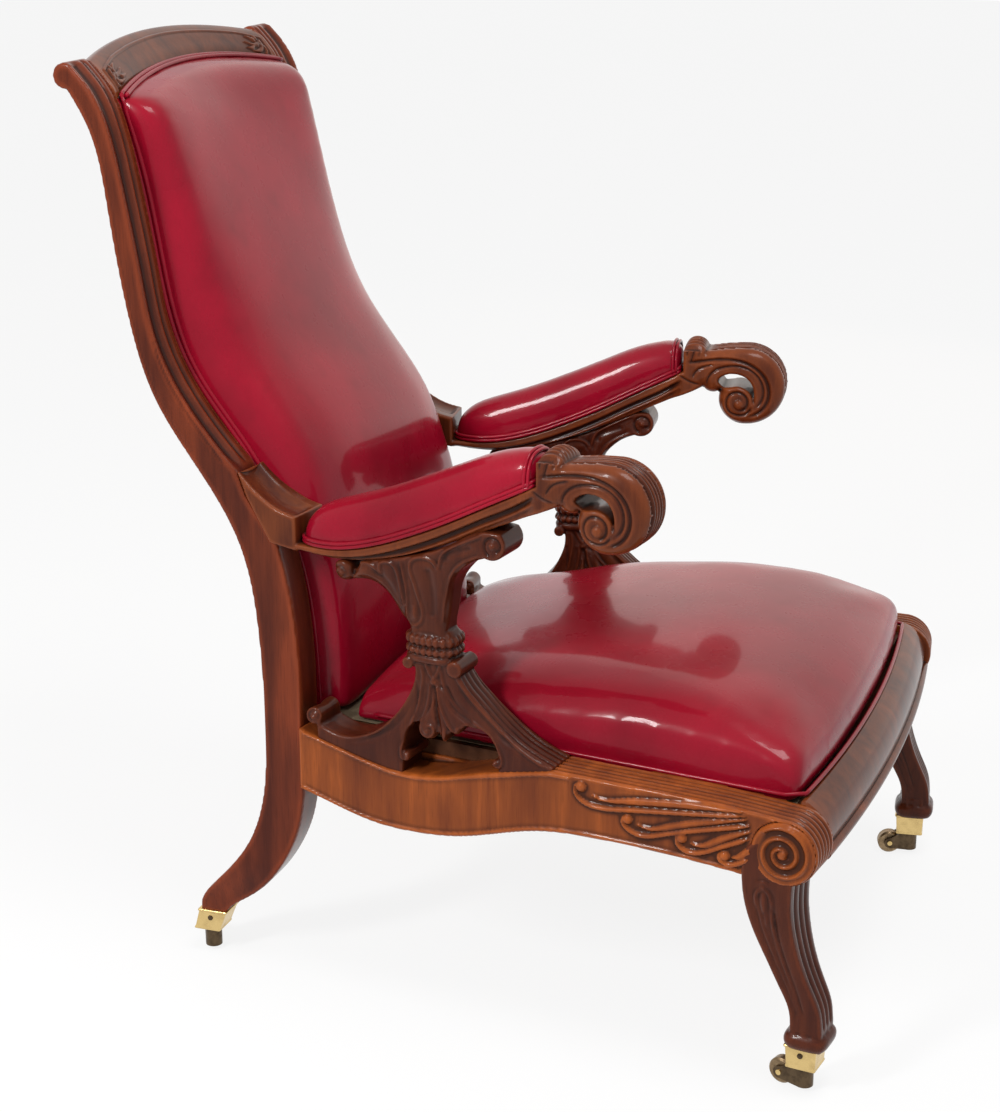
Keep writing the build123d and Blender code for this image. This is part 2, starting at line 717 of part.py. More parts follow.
# station of the side drawing, height of the pad, width as a share of the arm
pad_shares = (
    (-0.1855, 0.030, 0.90), (-0.165, 0.042, 1), (-0.130, 0.052, 1), (-0.090, 0.057, 1),
    (-0.040, 0.058, 1), (0.010, 0.055, 1), (0.045, 0.048, 0.97), (0.070, 0.034, 0.88), (0.088, 0.008, 0.60),
)
pad_base_shares = (0.609, 0.597, 0.579, 0.558, 0.535, 0.517, 0.510, 0.509, 0.509)


def pad_face(station, rise, width_share, base_share):
    """Section of an arm pad across the arm: upright walls under a shallow arc."""
    half = width_share * (arm_thickness + 2 * pad_bulge) / 2
    base = base_share * chair_height
    wall = base + rise * chair_height * pad_wall_share
    (run, _), = side(((station, 0),))
    plane = Plane(
        origin=side_plane.from_local_coords(Vector(run, 0, -arm_thickness / 2)),
        x_dir=(cos(splay), -sin(splay), 0),
        z_dir=(-sin(splay), -cos(splay), 0),
    )
    with BuildSketch(plane) as section:
        with BuildLine():
            Polyline((-half, wall), (-half, base - pad_sink), (half, base - pad_sink), (half, wall))
            ThreePointArc((half, wall), (0, base + rise * chair_height), (-half, wall))
        make_face()
    return section.sketch.face()


with BuildPart() as arm_pad_right:
    rows = [row + (base,) for row, base in zip(pad_shares, pad_base_shares)]
    add(loft([pad_face(*row) for row in rows], mode=Mode.PRIVATE))
    with BuildSketch(side_plane.offset(arm_thickness)):
        lift = soft_gap / chair_height
        floor_shares = [(y, z + lift) for y, z in platform_shares]
        with BuildLine():
            Spline(*side(floor_shares))
            Polyline(*side((
                floor_shares[-1], (floor_shares[-1][0], pad_base_shares[-1] / 2),
                (floor_shares[0][0], pad_base_shares[-1] / 2), floor_shares[0],
            )))
        make_face()
    extrude(amount=-side_run, mode=Mode.SUBTRACT)

with BuildPart() as arm_pad_left:
    mirror(arm_pad_right.part, about=Plane.YZ)

# Plain planes and shapes for the pieces that run across the chair
def across_plane(x):
    """Upright plane across the chair's width, drawn as Y and Z."""
    return Plane(origin=(x, 0, 0), x_dir=(0, 1, 0), z_dir=(1, 0, 0))


def placed(shares):
    """Stations to points in the part's own Y and Z."""
    return [(place_y(y), z * chair_height) for y, z in shares]


def arcs(points):
    """Arcs through the points, three at a time."""
    for start in range(0, len(points) - 2, 2):
        ThreePointArc(*points[start:start + 3])


def cross_bar(shares, half):
    """A bar across the chair between two corners of its section."""
    (y0, z0), (y1, z1) = placed(shares)
    with BuildPart() as bar:
        with Locations((0, (y0 + y1) / 2, (z0 + z1) / 2)):
            Box(2 * half, y1 - y0, z1 - z0)
    return bar


# Rear seat rail and the lower rail of the back, between the uprights
rear_rail_shares = ((rail_rear_share, 0.218), (0.132, rebate_share))
back_rail_shares = ((0.110, 0.300), (0.1305, 0.345))
rear_seat_rail = cross_bar(rear_rail_shares, inner_x)
lower_back_rail = cross_bar(back_rail_shares, inner_x)

# Crest rail: bowed backwards and arched, rolled over like the tops of the uprights
crest_bow = 27.0
crest_arch = 18.0
crest_shares = (
    (0.306, 0.960), (0.317, 0.979), (0.333, 0.994), (0.344, 0.995), (0.350, 0.986),
    (0.336, 0.970), (0.326, 0.950),
)
even_shares = (-1, -0.5, 0, 0.5, 1)


def bowed_back(shares, x, weights):
    """Stations to points, moved back and up with the crest by the weight of each."""
    share = 1 - (x / inner_x) ** 2
    return [
        (y + weight * share * crest_bow, z + weight * share * crest_arch)
        for (y, z), weight in zip(placed(shares), weights)
    ]


crest_faces = []
for share in even_shares:
    with BuildSketch(across_plane(share * inner_x)) as section:
        with BuildLine():
            points = bowed_back(crest_shares, share * inner_x, [1] * len(crest_shares))
            arcs(points)
            Line(points[-1], points[0])
        make_face()
    crest_faces.append(section.sketch.face())
with BuildPart() as crest_rail:
    add(loft(crest_faces, mode=Mode.PRIVATE))

# Back cushion: boxed pad between the uprights, full at the middle
back_piping_shares = (
    (0.305, 0.957), (0.286, 0.890), (0.267, 0.790), (0.238, 0.685), (0.170, 0.588),
    (0.137, 0.530), (0.111, 0.460), (0.099, 0.380), (0.095, 0.301),
)
back_rear_shares = (
    (0.304, 0.950), (0.300, 0.890), (0.281, 0.790), (0.252, 0.685), (0.184, 0.588),
    (0.151, 0.530), (0.123, 0.460), (0.112, 0.380), (0.109, 0.301),
)
back_front_shares = (
    (0.262, 0.953), (0.246, 0.880), (0.224, 0.790), (0.185, 0.690), (0.116, 0.590),
    (0.093, 0.530), (0.073, 0.460), (0.061, 0.380), (0.057, 0.301),
)
back_weights = (1, 0.6, 0.25, 0, 0, 0, 0, 0, 0)
back_fullness = 12.0
back_full_shares = (0.6, 1, 1, 1, 1, 0.8, 0.4, 0, 0)
# across the half width: how far out, how much of the box's depth, how much of the fullness
back_section_shares = (
    (-1, 0.78, 0), (-0.97, 0.93, 0), (-0.90, 1, 0.1), (-0.5, 1, 0.78), (0, 1, 1),
    (0.5, 1, 0.78), (0.90, 1, 0.1), (0.97, 0.93, 0), (1, 0.78, 0),
)

back_faces = []
for share, depth, full in back_section_shares:
    x = share * (inner_x - soft_gap)
    rear = bowed_back(back_rear_shares, x, back_weights)
    piping = bowed_back(back_piping_shares, x, back_weights)
    edge = bowed_back(back_front_shares, x, back_weights)
    front = [
        (py + depth * (fy - py) - full * fullness * back_fullness, pz + depth * (fz - pz))
        for (py, pz), (fy, fz), fullness in zip(piping, edge, back_full_shares)
    ]
    with BuildSketch(across_plane(x)) as section:
        with BuildLine():
            arcs(front)
            Line(front[-1], rear[-1])
            arcs(rear[::-1])
            Polyline(rear[0], piping[0], front[0])
        make_face()
    back_faces.append(section.sketch.face())
with BuildPart() as back_cushion:
    add(loft(back_faces, mode=Mode.PRIVATE))

# Outside back: leather tacked between the uprights
cover_thickness = 3.0
cover_shares = (
    (0.318, 0.944), (0.302, 0.870), (0.288, 0.790), (0.266, 0.690), (0.218, 0.600),
    (0.181, 0.540), (0.153, 0.480), (0.1395, 0.390), (0.1355, 0.294),
)
cover_faces = []
for share in even_shares:
    with BuildSketch(across_plane(share * inner_x)) as section:
        with BuildLine():
            rear = bowed_back(cover_shares, share * inner_x, back_weights)
            front = [(y - cover_thickness, z) for y, z in rear]
            arcs(rear)
            Line(rear[-1], front[-1])
            arcs(front[::-1])
            Line(front[0], rear[0])
        make_face()
    cover_faces.append(section.sketch.face())
with BuildPart() as back_cover:
    add(loft(cover_faces, mode=Mode.PRIVATE))

# Webbing of the back: straps from upright to upright behind the cushion's lower half
strap_width = 50.0
strap_thickness = 1.0
strap_clearance = 6.0       # behind the chord of the cushion's rear
with BuildPart() as back_webbing:
    rear = placed(back_rear_shares[-6:-1])
    for (high_y, high_z), (low_y, low_z) in zip(rear, rear[1:]):
        slope = atan2(high_z - low_z, high_y - low_y)
        y = (high_y + low_y) / 2 + strap_clearance * sin(slope)
        z = (high_z + low_z) / 2 - strap_clearance * cos(slope)
        with BuildSketch(across_plane(0)):
            with Locations(Location((y, z, 0), degrees(slope))):
                Rectangle(strap_width, strap_thickness)
        extrude(amount=inner_x, both=True)

# Slip seat: oak frame on the rails' rebates, two layers of webbing and a hessian
frame_width = 40.0
frame_rear_share = 0.094
frame_front_share = -0.464
hessian_thickness = 0.5


def side_edge_x(share, inside):
    """Half width at a station of a line that runs inside a side frame's outer face."""
    return side_x(share) - inside / cos(splay)


def seat_face(inset, lift):
    """Outline of the slip seat, drawn in on all sides by an inset."""
    rear = frame_rear_share - inset / drawing_depth
    front = frame_front_share + inset / drawing_depth
    half_rear = side_edge_x(rear, reed_band + seat_gap + inset)
    half_front = side_edge_x(front, reed_band + seat_gap + inset)
    with BuildSketch(Plane.XY.offset(lift)) as outline:
        with BuildLine():
            Polyline(
                (-half_rear, place_y(rear)), (half_rear, place_y(rear)),
                (half_front, place_y(front)), (-half_front, place_y(front)),
                (-half_rear, place_y(rear)),
            )
        make_face()
    return outline


rebate = rebate_share * chair_height
deck = deck_share * chair_height

with BuildPart() as slip_seat_frame:
    add(seat_face(0, rebate).sketch)
    extrude(amount=deck - rebate)
    add(seat_face(frame_width, rebate).sketch)
    extrude(amount=deck - rebate, mode=Mode.SUBTRACT)

web_inset = frame_width / 4
strap_pitch = 1.6 * strap_width
with BuildPart() as seat_webbing:
    with BuildSketch(Plane.XY.offset(deck)):
        with Locations((0, place_y((frame_rear_share + frame_front_share) / 2))):
            with GridLocations(strap_pitch, strap_pitch, 1, 6):
                Rectangle(front_width, strap_width)
    extrude(amount=strap_thickness)
    with BuildSketch(Plane.XY.offset(deck + strap_thickness)):
        with Locations((0, place_y((frame_rear_share + frame_front_share) / 2))):
            with GridLocations(strap_pitch, strap_pitch, 6, 1):
                Rectangle(strap_width, side_run)
    extrude(amount=strap_thickness)
    add(seat_face(web_inset, deck).sketch)
    extrude(amount=2 * strap_thickness, mode=Mode.INTERSECT)

with BuildPart() as seat_hessian:
    add(seat_face(web_inset / 2, deck + 2 * strap_thickness).sketch)
    extrude(amount=hessian_thickness)

# Corner blocks glued inside the seat rails
block_leg = 45.0
block_base_share = 0.245
with BuildPart() as corner_blocks:
    ends = (rail_rear_share, roll_x)
    inner_line = [(side_edge_x(share, rail_thickness), place_y(share)) for share in ends]
    for direction in (1, -1):
        for (x, y), forward in zip(inner_line, (-1, 1)):
            along = (x - forward * block_leg * sin(splay), y + forward * block_leg * cos(splay))
            if forward == 1:
                reach = block_leg + (front_rail_shares[0][0] - roll_x) * drawing_depth + front_bow
                along = (x - reach * sin(splay), y + reach * cos(splay))
            with BuildSketch(Plane.XY.offset(block_base_share * chair_height)):
                with BuildLine():
                    points = ((x, y), along, (x - 1.2 * block_leg, y), (x, y))
                    Polyline(*[(direction * a, b) for a, b in points])
                make_face()
            extrude(amount=rebate - block_base_share * chair_height)
    add(front_rail.part, mode=Mode.SUBTRACT)

# Seat cushion: boxed and crowned, narrowing to the back with the rails
cushion_inside = reed_band + soft_gap
apex_run = side_edge_x(datum_share, cushion_inside) * cos(splay) / sin(splay)
apex_y = datum_y + apex_run
cushion_front_shares = ((-0.4735, 0.299), (-0.4835, 0.325), (-0.480, 0.345))
cushion_top_shares = ((-0.480, 0.345), (-0.400, 0.375), (-0.280, 0.387), (-0.110, 0.373), (0.051, 0.346))
cushion_end_shares = (0, 0, 0.5, 1)
cushion_rear_share = 0.051
cushion_bow = 17.0
# across the half angle: how far out, drop of the front, middle and rear of the top, inset of the end
cushion_section_shares = (
    (-1, 0.009, 0.022, 0.024, 0.006), (-0.975, 0.006, 0.016, 0.019, 0.0015), (-0.91, 0.004, 0.012, 0.015, 0),
    (-0.5, 0.001, 0.003, 0.004, 0), (0, 0, 0, 0, 0), (0.5, 0.001, 0.003, 0.004, 0),
    (0.91, 0.004, 0.012, 0.015, 0), (0.975, 0.006, 0.016, 0.019, 0.0015), (1, 0.009, 0.022, 0.024, 0.006),
)


def cushion_face(turn_share, front_drop, middle_drop, rear_drop, inset):
    """Section of the seat cushion in an upright plane through the apex of its sides."""
    turn = turn_share * splay
    half = front_half * turn_share
    bow = cushion_bow * turn_share ** 2
    before = (front_drop + middle_drop) / 2
    behind = (middle_drop + rear_drop) / 2
    drops = (front_drop, before, middle_drop, behind, rear_drop)

    front = [
        ((apex_y - place_y(y + inset) - bow) / cos(turn), (z + lift) * chair_height)
        for (y, z), lift in zip(cushion_front_shares, (0, 0, -front_drop))
    ]
    top = [front[-1]] + [
        ((apex_y - place_y(y - inset * end)) / cos(turn), (z - drop) * chair_height)
        for (y, z), drop, end in zip(cushion_top_shares[1:], drops[1:], cushion_end_shares)
    ]
    rear = ((apex_y - place_y(cushion_rear_share - inset)) / cos(turn), front[0][1])
    plane = Plane(
        origin=(0, apex_y, 0),
        x_dir=(sin(turn), -cos(turn), 0),
        z_dir=(-cos(turn), -sin(turn), 0),
    )
    with BuildSketch(plane) as section:
        with BuildLine():
            arcs(front)
            arcs(top)
            Polyline(top[-1], rear, front[0])
        make_face()
    return section.sketch.face()


with BuildPart() as seat_cushion:
    add(loft([cushion_face(*row) for row in cushion_section_shares], mode=Mode.PRIVATE))

pieces = [
    (upright_right, "upright_right"), (upright_left, "upright_left"),
    (arm_right, "arm_right"), (arm_left, "arm_left"),
    (arm_support_right, "arm_support_right"), (arm_support_left, "arm_support_left"),
    (arm_pad_right, "arm_pad_right"), (arm_pad_left, "arm_pad_left"),
    (side_rail_right, "side_rail_right"), (side_rail_left, "side_rail_left"),
    (front_leg_right, "front_leg_right"), (front_leg_left, "front_leg_left"),
    (front_rail, "front_rail"), (rear_seat_rail, "rear_seat_rail"), (lower_back_rail, "lower_back_rail"),
    (crest_rail, "crest_rail"), (back_cushion, "back_cushion"), (back_cover, "back_cover"),
    (back_webbing, "back_webbing"), (slip_seat_frame, "slip_seat_frame"), (seat_webbing, "seat_webbing"),
    (seat_hessian, "seat_hessian"), (corner_blocks, "corner_blocks"), (seat_cushion, "seat_cushion"),
    (castor_screws, "castor_screws"),
]
for builder, name in pieces + castors:
    write(builder, name)
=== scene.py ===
# %% [markdown]
# # A library chair of about 1830
# The chair has a polished mahogany show frame, crimson leather and brass castors. A model of it, made
# elsewhere, is loaded first as a fixed frame. Every piece below is built around that frame, in metres.

# %% Load the frame
import json
import math

import bpy
import numpy as np
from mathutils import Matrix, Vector


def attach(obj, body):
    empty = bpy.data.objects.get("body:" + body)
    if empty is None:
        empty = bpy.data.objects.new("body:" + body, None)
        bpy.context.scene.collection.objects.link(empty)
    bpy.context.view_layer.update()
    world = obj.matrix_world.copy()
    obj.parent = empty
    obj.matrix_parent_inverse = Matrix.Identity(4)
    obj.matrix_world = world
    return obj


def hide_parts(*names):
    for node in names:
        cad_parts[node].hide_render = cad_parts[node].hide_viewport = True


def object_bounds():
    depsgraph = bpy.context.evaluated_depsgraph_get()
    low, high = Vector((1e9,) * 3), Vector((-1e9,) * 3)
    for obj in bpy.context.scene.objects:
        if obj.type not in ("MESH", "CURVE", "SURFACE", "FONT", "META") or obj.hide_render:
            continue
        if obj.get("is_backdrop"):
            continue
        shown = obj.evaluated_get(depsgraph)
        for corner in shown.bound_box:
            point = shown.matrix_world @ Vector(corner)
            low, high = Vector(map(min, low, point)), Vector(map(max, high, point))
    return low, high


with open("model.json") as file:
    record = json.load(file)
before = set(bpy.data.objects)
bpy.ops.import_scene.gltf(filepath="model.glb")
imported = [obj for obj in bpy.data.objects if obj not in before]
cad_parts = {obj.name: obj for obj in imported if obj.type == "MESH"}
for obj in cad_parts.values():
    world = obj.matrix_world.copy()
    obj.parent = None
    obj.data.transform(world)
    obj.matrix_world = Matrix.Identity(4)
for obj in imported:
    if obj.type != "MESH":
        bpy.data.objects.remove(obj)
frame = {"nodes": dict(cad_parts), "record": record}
cad_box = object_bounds()
scene = bpy.context.scene
print("nodes", len(frame["nodes"]), "box", cad_box)

# %% [markdown]
# ## The side drawing
# A chair like this is designed as one side view. Each carved piece is therefore described here by stations of
# that view: how far back, how far up, and how deep inside the outer face. One function carries the stations into
# the chair, where the two sides open out towards the front.

# %% Stations of the side drawing
# half width over the back, where the open side starts, how far back the drawing stands in the chair, the angle by
# which a side opens out, and the width of a side rail's reeded top
BACK_HALF = 0.246
DATUM = 0.150
SHIFT = 0.0695
SPLAY = math.atan2(0.084, 0.610)
REED_BAND = 0.048


def mm(stations):
    """Stations that are drawn in millimetres, in metres."""
    return np.array(stations, float) / 1000


def side_place(stations, inside):
    """Side drawing to chair: run forwards from the datum along the splayed face, then step inwards from it.

    x = -(half back width) - run * sin(splay) + inside * cos(splay)
    y = datum - run * cos(splay) - inside * sin(splay)
    """
    stations = np.asarray(stations, float)
    run = (DATUM - stations[..., 0]) / math.cos(SPLAY)
    x = -BACK_HALF - run * math.sin(SPLAY) + inside * math.cos(SPLAY)
    y = DATUM + SHIFT - run * math.cos(SPLAY) - inside * math.sin(SPLAY)
    return np.stack([x, y, stations[..., 1] + 0 * x], -1)


def back_place(stations, inside):
    """The same for the two uprights, whose faces run straight back."""
    stations = np.asarray(stations, float)
    x = -BACK_HALF + inside + 0 * stations[..., 0]
    return np.stack([x, stations[..., 0] + SHIFT + 0 * x, stations[..., 1] + 0 * x], -1)


def smooth(points, count):
    """A natural cubic spline through the points, over chord length, read at even steps."""
    points = np.asarray(points, float)
    t = np.concatenate([[0], np.cumsum(np.linalg.norm(np.diff(points, axis=0), axis=1))])
    h = np.diff(t)
    n = len(t)
    a = np.eye(n)
    b = np.zeros((n, points.shape[1]))
    inner = np.arange(1, n - 1)
    a[inner, inner - 1] = h[:-1]
    a[inner, inner] = 2 * (h[:-1] + h[1:])
    a[inner, inner + 1] = h[1:]
    slope = np.diff(points, axis=0) / h[:, None]
    b[1:-1] = 6 * np.diff(slope, axis=0)
    m = np.linalg.solve(a, b)
    s = np.linspace(0, t[-1], count)
    i = np.clip(np.searchsorted(t, s, "right") - 1, 0, n - 2)
    d = (s - t[i])[:, None]
    hi = h[i][:, None]
    first = slope[i] - hi * (2 * m[i] + m[i + 1]) / 6
    return points[i] + first * d + m[i] * d ** 2 / 2 + (m[i + 1] - m[i]) * d ** 3 / (6 * hi)


def drawn(stations, count):
    """The smooth line through stations in mm."""
    return smooth(mm(stations), count)


def arc(start, through, end, count):
    """The circle through three stations in mm, from the first to the last by way of the second."""
    stations = mm([start, through, end])
    (ax, ay), (bx, by), (cx, cy) = stations
    d = 2 * (ax * (by - cy) + bx * (cy - ay) + cx * (ay - by))
    a2, b2, c2 = ax * ax + ay * ay, bx * bx + by * by, cx * cx + cy * cy
    ux = (a2 * (by - cy) + b2 * (cy - ay) + c2 * (ay - by)) / d
    uy = (a2 * (cx - bx) + b2 * (ax - cx) + c2 * (bx - ax)) / d
    angles = [math.atan2(y - uy, x - ux) for x, y in stations]
    turn = lambda v: (v - angles[0]) % (2 * math.pi)
    sweep = turn(angles[2])
    if turn(angles[1]) > sweep:
        sweep -= 2 * math.pi
    t = angles[0] + np.linspace(0, sweep, count)
    r = math.hypot(ax - ux, ay - uy)
    return np.stack([ux + r * np.cos(t), uy + r * np.sin(t)], -1)


def full_turn(count):
    """Evenly spaced angles all the way round."""
    return np.linspace(0, 2 * np.pi, count, endpoint=False)


def power(value, exponent):
    """A power that keeps the sign: cos and sin to such a power run round a superellipse."""
    return np.sign(value) * np.abs(value) ** exponent


def joined(*runs):
    """Runs of points end to end, without the points that repeat."""
    line = np.concatenate([np.asarray(run, float) for run in runs])
    keep = np.ones(len(line), bool)
    keep[1:] = np.linalg.norm(np.diff(line, axis=0), axis=1) > 1e-5
    return line[keep]


# %% [markdown]
# ## Meshes from arrays
# A surface is a grid of points worked out with numpy. One helper turns such a grid into a mesh, and another
# carves a board: it fills a flat outline, gives it its thickness, covers it with small even faces and then moves
# them by a relief that is a formula of the place on the drawing.

# %% Mesh helpers
def new_mesh(name, points, faces):
    """A mesh from an array of points and lists of point numbers."""
    mesh = bpy.data.meshes.new(name)
    mesh.from_pydata(np.asarray(points, float).reshape(-1, 3).tolist(), [], faces)
    return mesh


def placed(name, mesh, finish=None, node=None):
    """Puts a mesh into the scene as a smooth piece that rides on the chair, and may replace a node of the frame."""
    mesh.polygons.foreach_set("use_smooth", [True] * len(mesh.polygons))
    if finish:
        mesh.materials.clear()
        mesh.materials.append(finish)
    piece = bpy.data.objects.new(name, mesh)
    scene.collection.objects.link(piece)
    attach(piece, "chair")
    if node:
        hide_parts(node)
    return piece


def mirrored(piece, name, node=None):
    """The same piece on the other side of the chair: x changes sign and the faces are turned round."""
    mesh = piece.data.copy()
    mesh.vertices.foreach_set("co", (points_of(mesh) * (-1, 1, 1)).ravel())
    mesh.flip_normals()
    return placed(name, mesh, node=node)


def grid_faces(rows, columns, close_rows=False, close_columns=False):
    """Four-sided faces of a grid of points numbered row by row."""
    i = np.arange(rows if close_rows else rows - 1)[:, None]
    j = np.arange(columns if close_columns else columns - 1)[None, :]
    a = i * columns + j
    b = i * columns + (j + 1) % columns
    c = ((i + 1) % rows) * columns + (j + 1) % columns
    d = ((i + 1) % rows) * columns + j
    return np.stack([a, b, c, d], -1).reshape(-1, 4)


def lofted(rings):
    """Closed rings one after another, with a fan at each end. Returns points and faces."""
    rings = np.asarray(rings, float)
    rows, columns = rings.shape[:2]
    points = np.concatenate([rings.reshape(-1, 3), rings[[0, -1]].mean(1)])
    faces = grid_faces(rows, columns, close_columns=True).tolist()
    j = np.arange(columns)
    first, last = rows * columns, rows * columns + 1
    faces += np.stack([np.full(columns, first), (j + 1) % columns, j], -1).tolist()
    top = (rows - 1) * columns
    faces += np.stack([np.full(columns, last), top + j, top + (j + 1) % columns], -1).tolist()
    return points, faces


def closed_mesh(name, points, faces):
    """A closed mesh whose faces point outwards: the sum of a . (b x c) over its triangles is positive."""
    mesh = new_mesh(name, points, faces)
    mesh.calc_loop_triangles()
    corners = np.empty(len(mesh.loop_triangles) * 3, int)
    mesh.loop_triangles.foreach_get("vertices", corners)
    a, b, c = points_of(mesh)[corners.reshape(-1, 3)].transpose(1, 0, 2)
    if np.einsum("ij,ij->i", a, np.cross(b, c)).sum() < 0:
        mesh.flip_normals()
    mesh.update()
    return mesh


def read(mesh, kind):
    """One row for each point of a mesh: its place (co) or its normal."""
    v = np.empty(len(mesh.vertices) * 3)
    mesh.vertices.foreach_get(kind, v)
    return v.reshape(-1, 3)


def points_of(mesh):
    return read(mesh, "co")


def faces_of(mesh):
    return [list(face.vertices) for face in mesh.polygons]


def set_points(mesh, v):
    mesh.vertices.foreach_set("co", np.ascontiguousarray(v).ravel())
    mesh.update()


def baked(piece):
    """The piece's mesh with its modifiers applied."""
    depsgraph = bpy.context.evaluated_depsgraph_get()
    return bpy.data.meshes.new_from_object(piece.evaluated_get(depsgraph), depsgraph=depsgraph)


def remeshed(mesh, voxel):
    """The same closed shape covered with even four-sided faces of one size."""
    scratch = bpy.data.objects.new("scratch", mesh)
    scene.collection.objects.link(scratch)
    modifier = scratch.modifiers.new("even", "REMESH")
    modifier.mode = "VOXEL"
    modifier.voxel_size = voxel
    result = baked(scratch)
    bpy.data.objects.remove(scratch)
    return result


def evened(mesh, values, rounds):
    """A value at every point of a mesh, averaged over each point's neighbours so many times."""
    pairs = np.empty(len(mesh.edges) * 2, int)
    mesh.edges.foreach_get("vertices", pairs)
    a, b = pairs.reshape(-1, 2).T
    here, there = np.concatenate([a, b]), np.concatenate([b, a])
    count = np.maximum(np.bincount(here, minlength=len(values)), 1)
    for _ in range(rounds):
        values = np.stack([np.bincount(here, values[there, axis], len(values)) / count for axis in range(3)], -1)
    return values


def ease(value, low, high):
    """0 below low, 1 above high, and a smooth step between."""
    t = np.clip((value - low) / (high - low), 0, 1)
    return t * t * (3 - 2 * t)


OUT_OF_REACH = 9.0
PAIRS_AT_ONCE = 1500000


def ends(along, taper):
    """A share that rises from 0 at both ends of a line to 1 within taper."""
    return ease(along, 0, taper) * ease(1 - along, 0, taper)


def to_line(points, line, reach=None):
    """Distance from each point to a line of straight runs, and how far along the line the nearest place is."""
    points = np.asarray(points, float)[:, :2]
    line = np.asarray(line, float)
    far = np.full(len(points), OUT_OF_REACH)
    along = np.zeros(len(points))
    near = np.ones(len(points), bool)
    if reach:
        near = np.all((points > line.min(0) - reach) & (points < line.max(0) + reach), axis=1)
    if not near.any():
        return far, along
    a, b = line[:-1], line[1:]
    ab = b - a
    length = np.linalg.norm(ab, axis=1)
    start = np.concatenate([[0], np.cumsum(length)])
    index = np.flatnonzero(near)
    for part in np.array_split(index, len(index) * len(a) // PAIRS_AT_ONCE + 1):
        p = points[part][:, None, :] - a[None]
        t = np.clip((p * ab).sum(-1) / np.maximum(length ** 2, 1e-12), 0, 1)
        d = np.linalg.norm(p - t[..., None] * ab, axis=-1)
        best = d.argmin(1)
        rows = np.arange(len(best))
        far[part] = d[rows, best]
        along[part] = (start[best] + t[rows, best] * length[best]) / start[-1]
    return far, along


def inside_of(points, outline):
    """True where a point lies inside a closed outline, by counting the edges to its right."""
    x, y = np.asarray(points, float)[:, 0:1], np.asarray(points, float)[:, 1:2]
    a, b = np.asarray(outline, float), np.roll(outline, -1, axis=0)
    crossing = (a[:, 1] > y) != (b[:, 1] > y)
    step = np.where(np.abs(b[:, 1] - a[:, 1]) < 1e-9, 1e-9, b[:, 1] - a[:, 1])
    at = a[:, 0] + (y - a[:, 1]) * (b[:, 0] - a[:, 0]) / step
    return (crossing & (x < at)).sum(1) % 2 == 1


def groove(points, line, width, depth, taper):
    """A hollow along a line: minus depth times a bell of the distance, fading at the ends by taper."""
    d, along = to_line(points, line, 4 * width)
    return -depth * np.exp(-(d / width) ** 2) * ends(along, taper)


def bead(points, line, width, height, taper=0):
    """A half-round rib along a line, narrowing at its ends by taper."""
    d, along = to_line(points, line, 2 * width)
    half = width / 2
    if taper:
        half = half * (0.25 + 0.75 * np.minimum(1, np.minimum(along, 1 - along) / taper))
    return height * np.sqrt(np.clip(1 - (d / half) ** 2, 0, 1))


def leaf(points, outline, height, edge):
    """A raised shape: its height rises from the outline inwards along a quarter circle of the width edge."""
    closed = np.concatenate([outline, outline[:1]])
    d, _ = to_line(points, closed, edge * 3)
    inside = np.zeros(len(d), bool)
    box = np.all((points[:, :2] > outline.min(0)) & (points[:, :2] < outline.max(0)), axis=1)
    if box.any():
        inside[box] = inside_of(points[box], outline)
    t = np.clip(d / edge, 0, 1)
    return np.where(inside, height * np.sqrt(1 - (1 - t) ** 2), 0)


# %% [markdown]
# ## Finishes
# A finish is a node material. Its maths is written as Python: a small class wraps a socket so that an expression
# on values adds the Math nodes, and one method makes every other node. What changes over a surface feeds only the
# colour, the roughness, the coat weight and the bump.

# %% Shader values and nodes
class Value:
    """A number or vector inside a node tree that can be used in arithmetic."""

    def __init__(self, nodes, socket):
        self.nodes = nodes
        self.socket = socket

    def math(self, operation, *values):
        return self.nodes.node("ShaderNodeMath", {"operation": operation}, dict(enumerate(values)))

    def __add__(self, other):
        return self.math("ADD", self, other)

    def __sub__(self, other):
        return self.math("SUBTRACT", self, other)

    def __mul__(self, other):
        return self.math("MULTIPLY", self, other)

    def __truediv__(self, other):
        return self.math("DIVIDE", self, other)

    def __radd__(self, other):
        return self.math("ADD", other, self)

    def __rsub__(self, other):
        return self.math("SUBTRACT", other, self)

    def __rmul__(self, other):
        return self.math("MULTIPLY", other, self)

    def clamp(self, low=0.0, high=1.0):
        return self.math("MINIMUM", self.math("MAXIMUM", self, low), high)

    def band(self, low, high):
        """0 below low and 1 above high, straight between."""
        return ((self - low) / (high - low)).clamp()


class Nodes:
    """A node tree whose nodes all come from one method."""

    def __init__(self, tree):
        self.tree = tree

    def node(self, kind, settings=None, values=None, output=0):
        made = self.tree.nodes.new(kind)
        for key, setting in (settings or {}).items():
            if key == "stops":
                ramp = made.color_ramp
                while len(ramp.elements) < len(setting):
                    ramp.elements.new(0.5)
                for element, (position, color) in zip(ramp.elements, setting):
                    element.position = position
                    element.color = color
            else:
                setattr(made, key, setting)
        for key, value in (values or {}).items():
            self.feed(made.inputs[key], value)
        return Value(self, made.outputs[output])

    def feed(self, socket, value):
        if isinstance(value, Value):
            self.tree.links.new(value.socket, socket)
        else:
            socket.default_value = value

    def seen_as_white(self):
        """1 for rays of the camera, of reflections and through glass, which see the white background; else 0."""
        path = self.node("ShaderNodeLightPath").socket.node
        camera, glossy, glass = (
            Value(self, path.outputs[f"Is {kind} Ray"]) for kind in ("Camera", "Glossy", "Transmission")
        )
        return camera.math("MAXIMUM", camera.math("MAXIMUM", camera, glossy), glass)


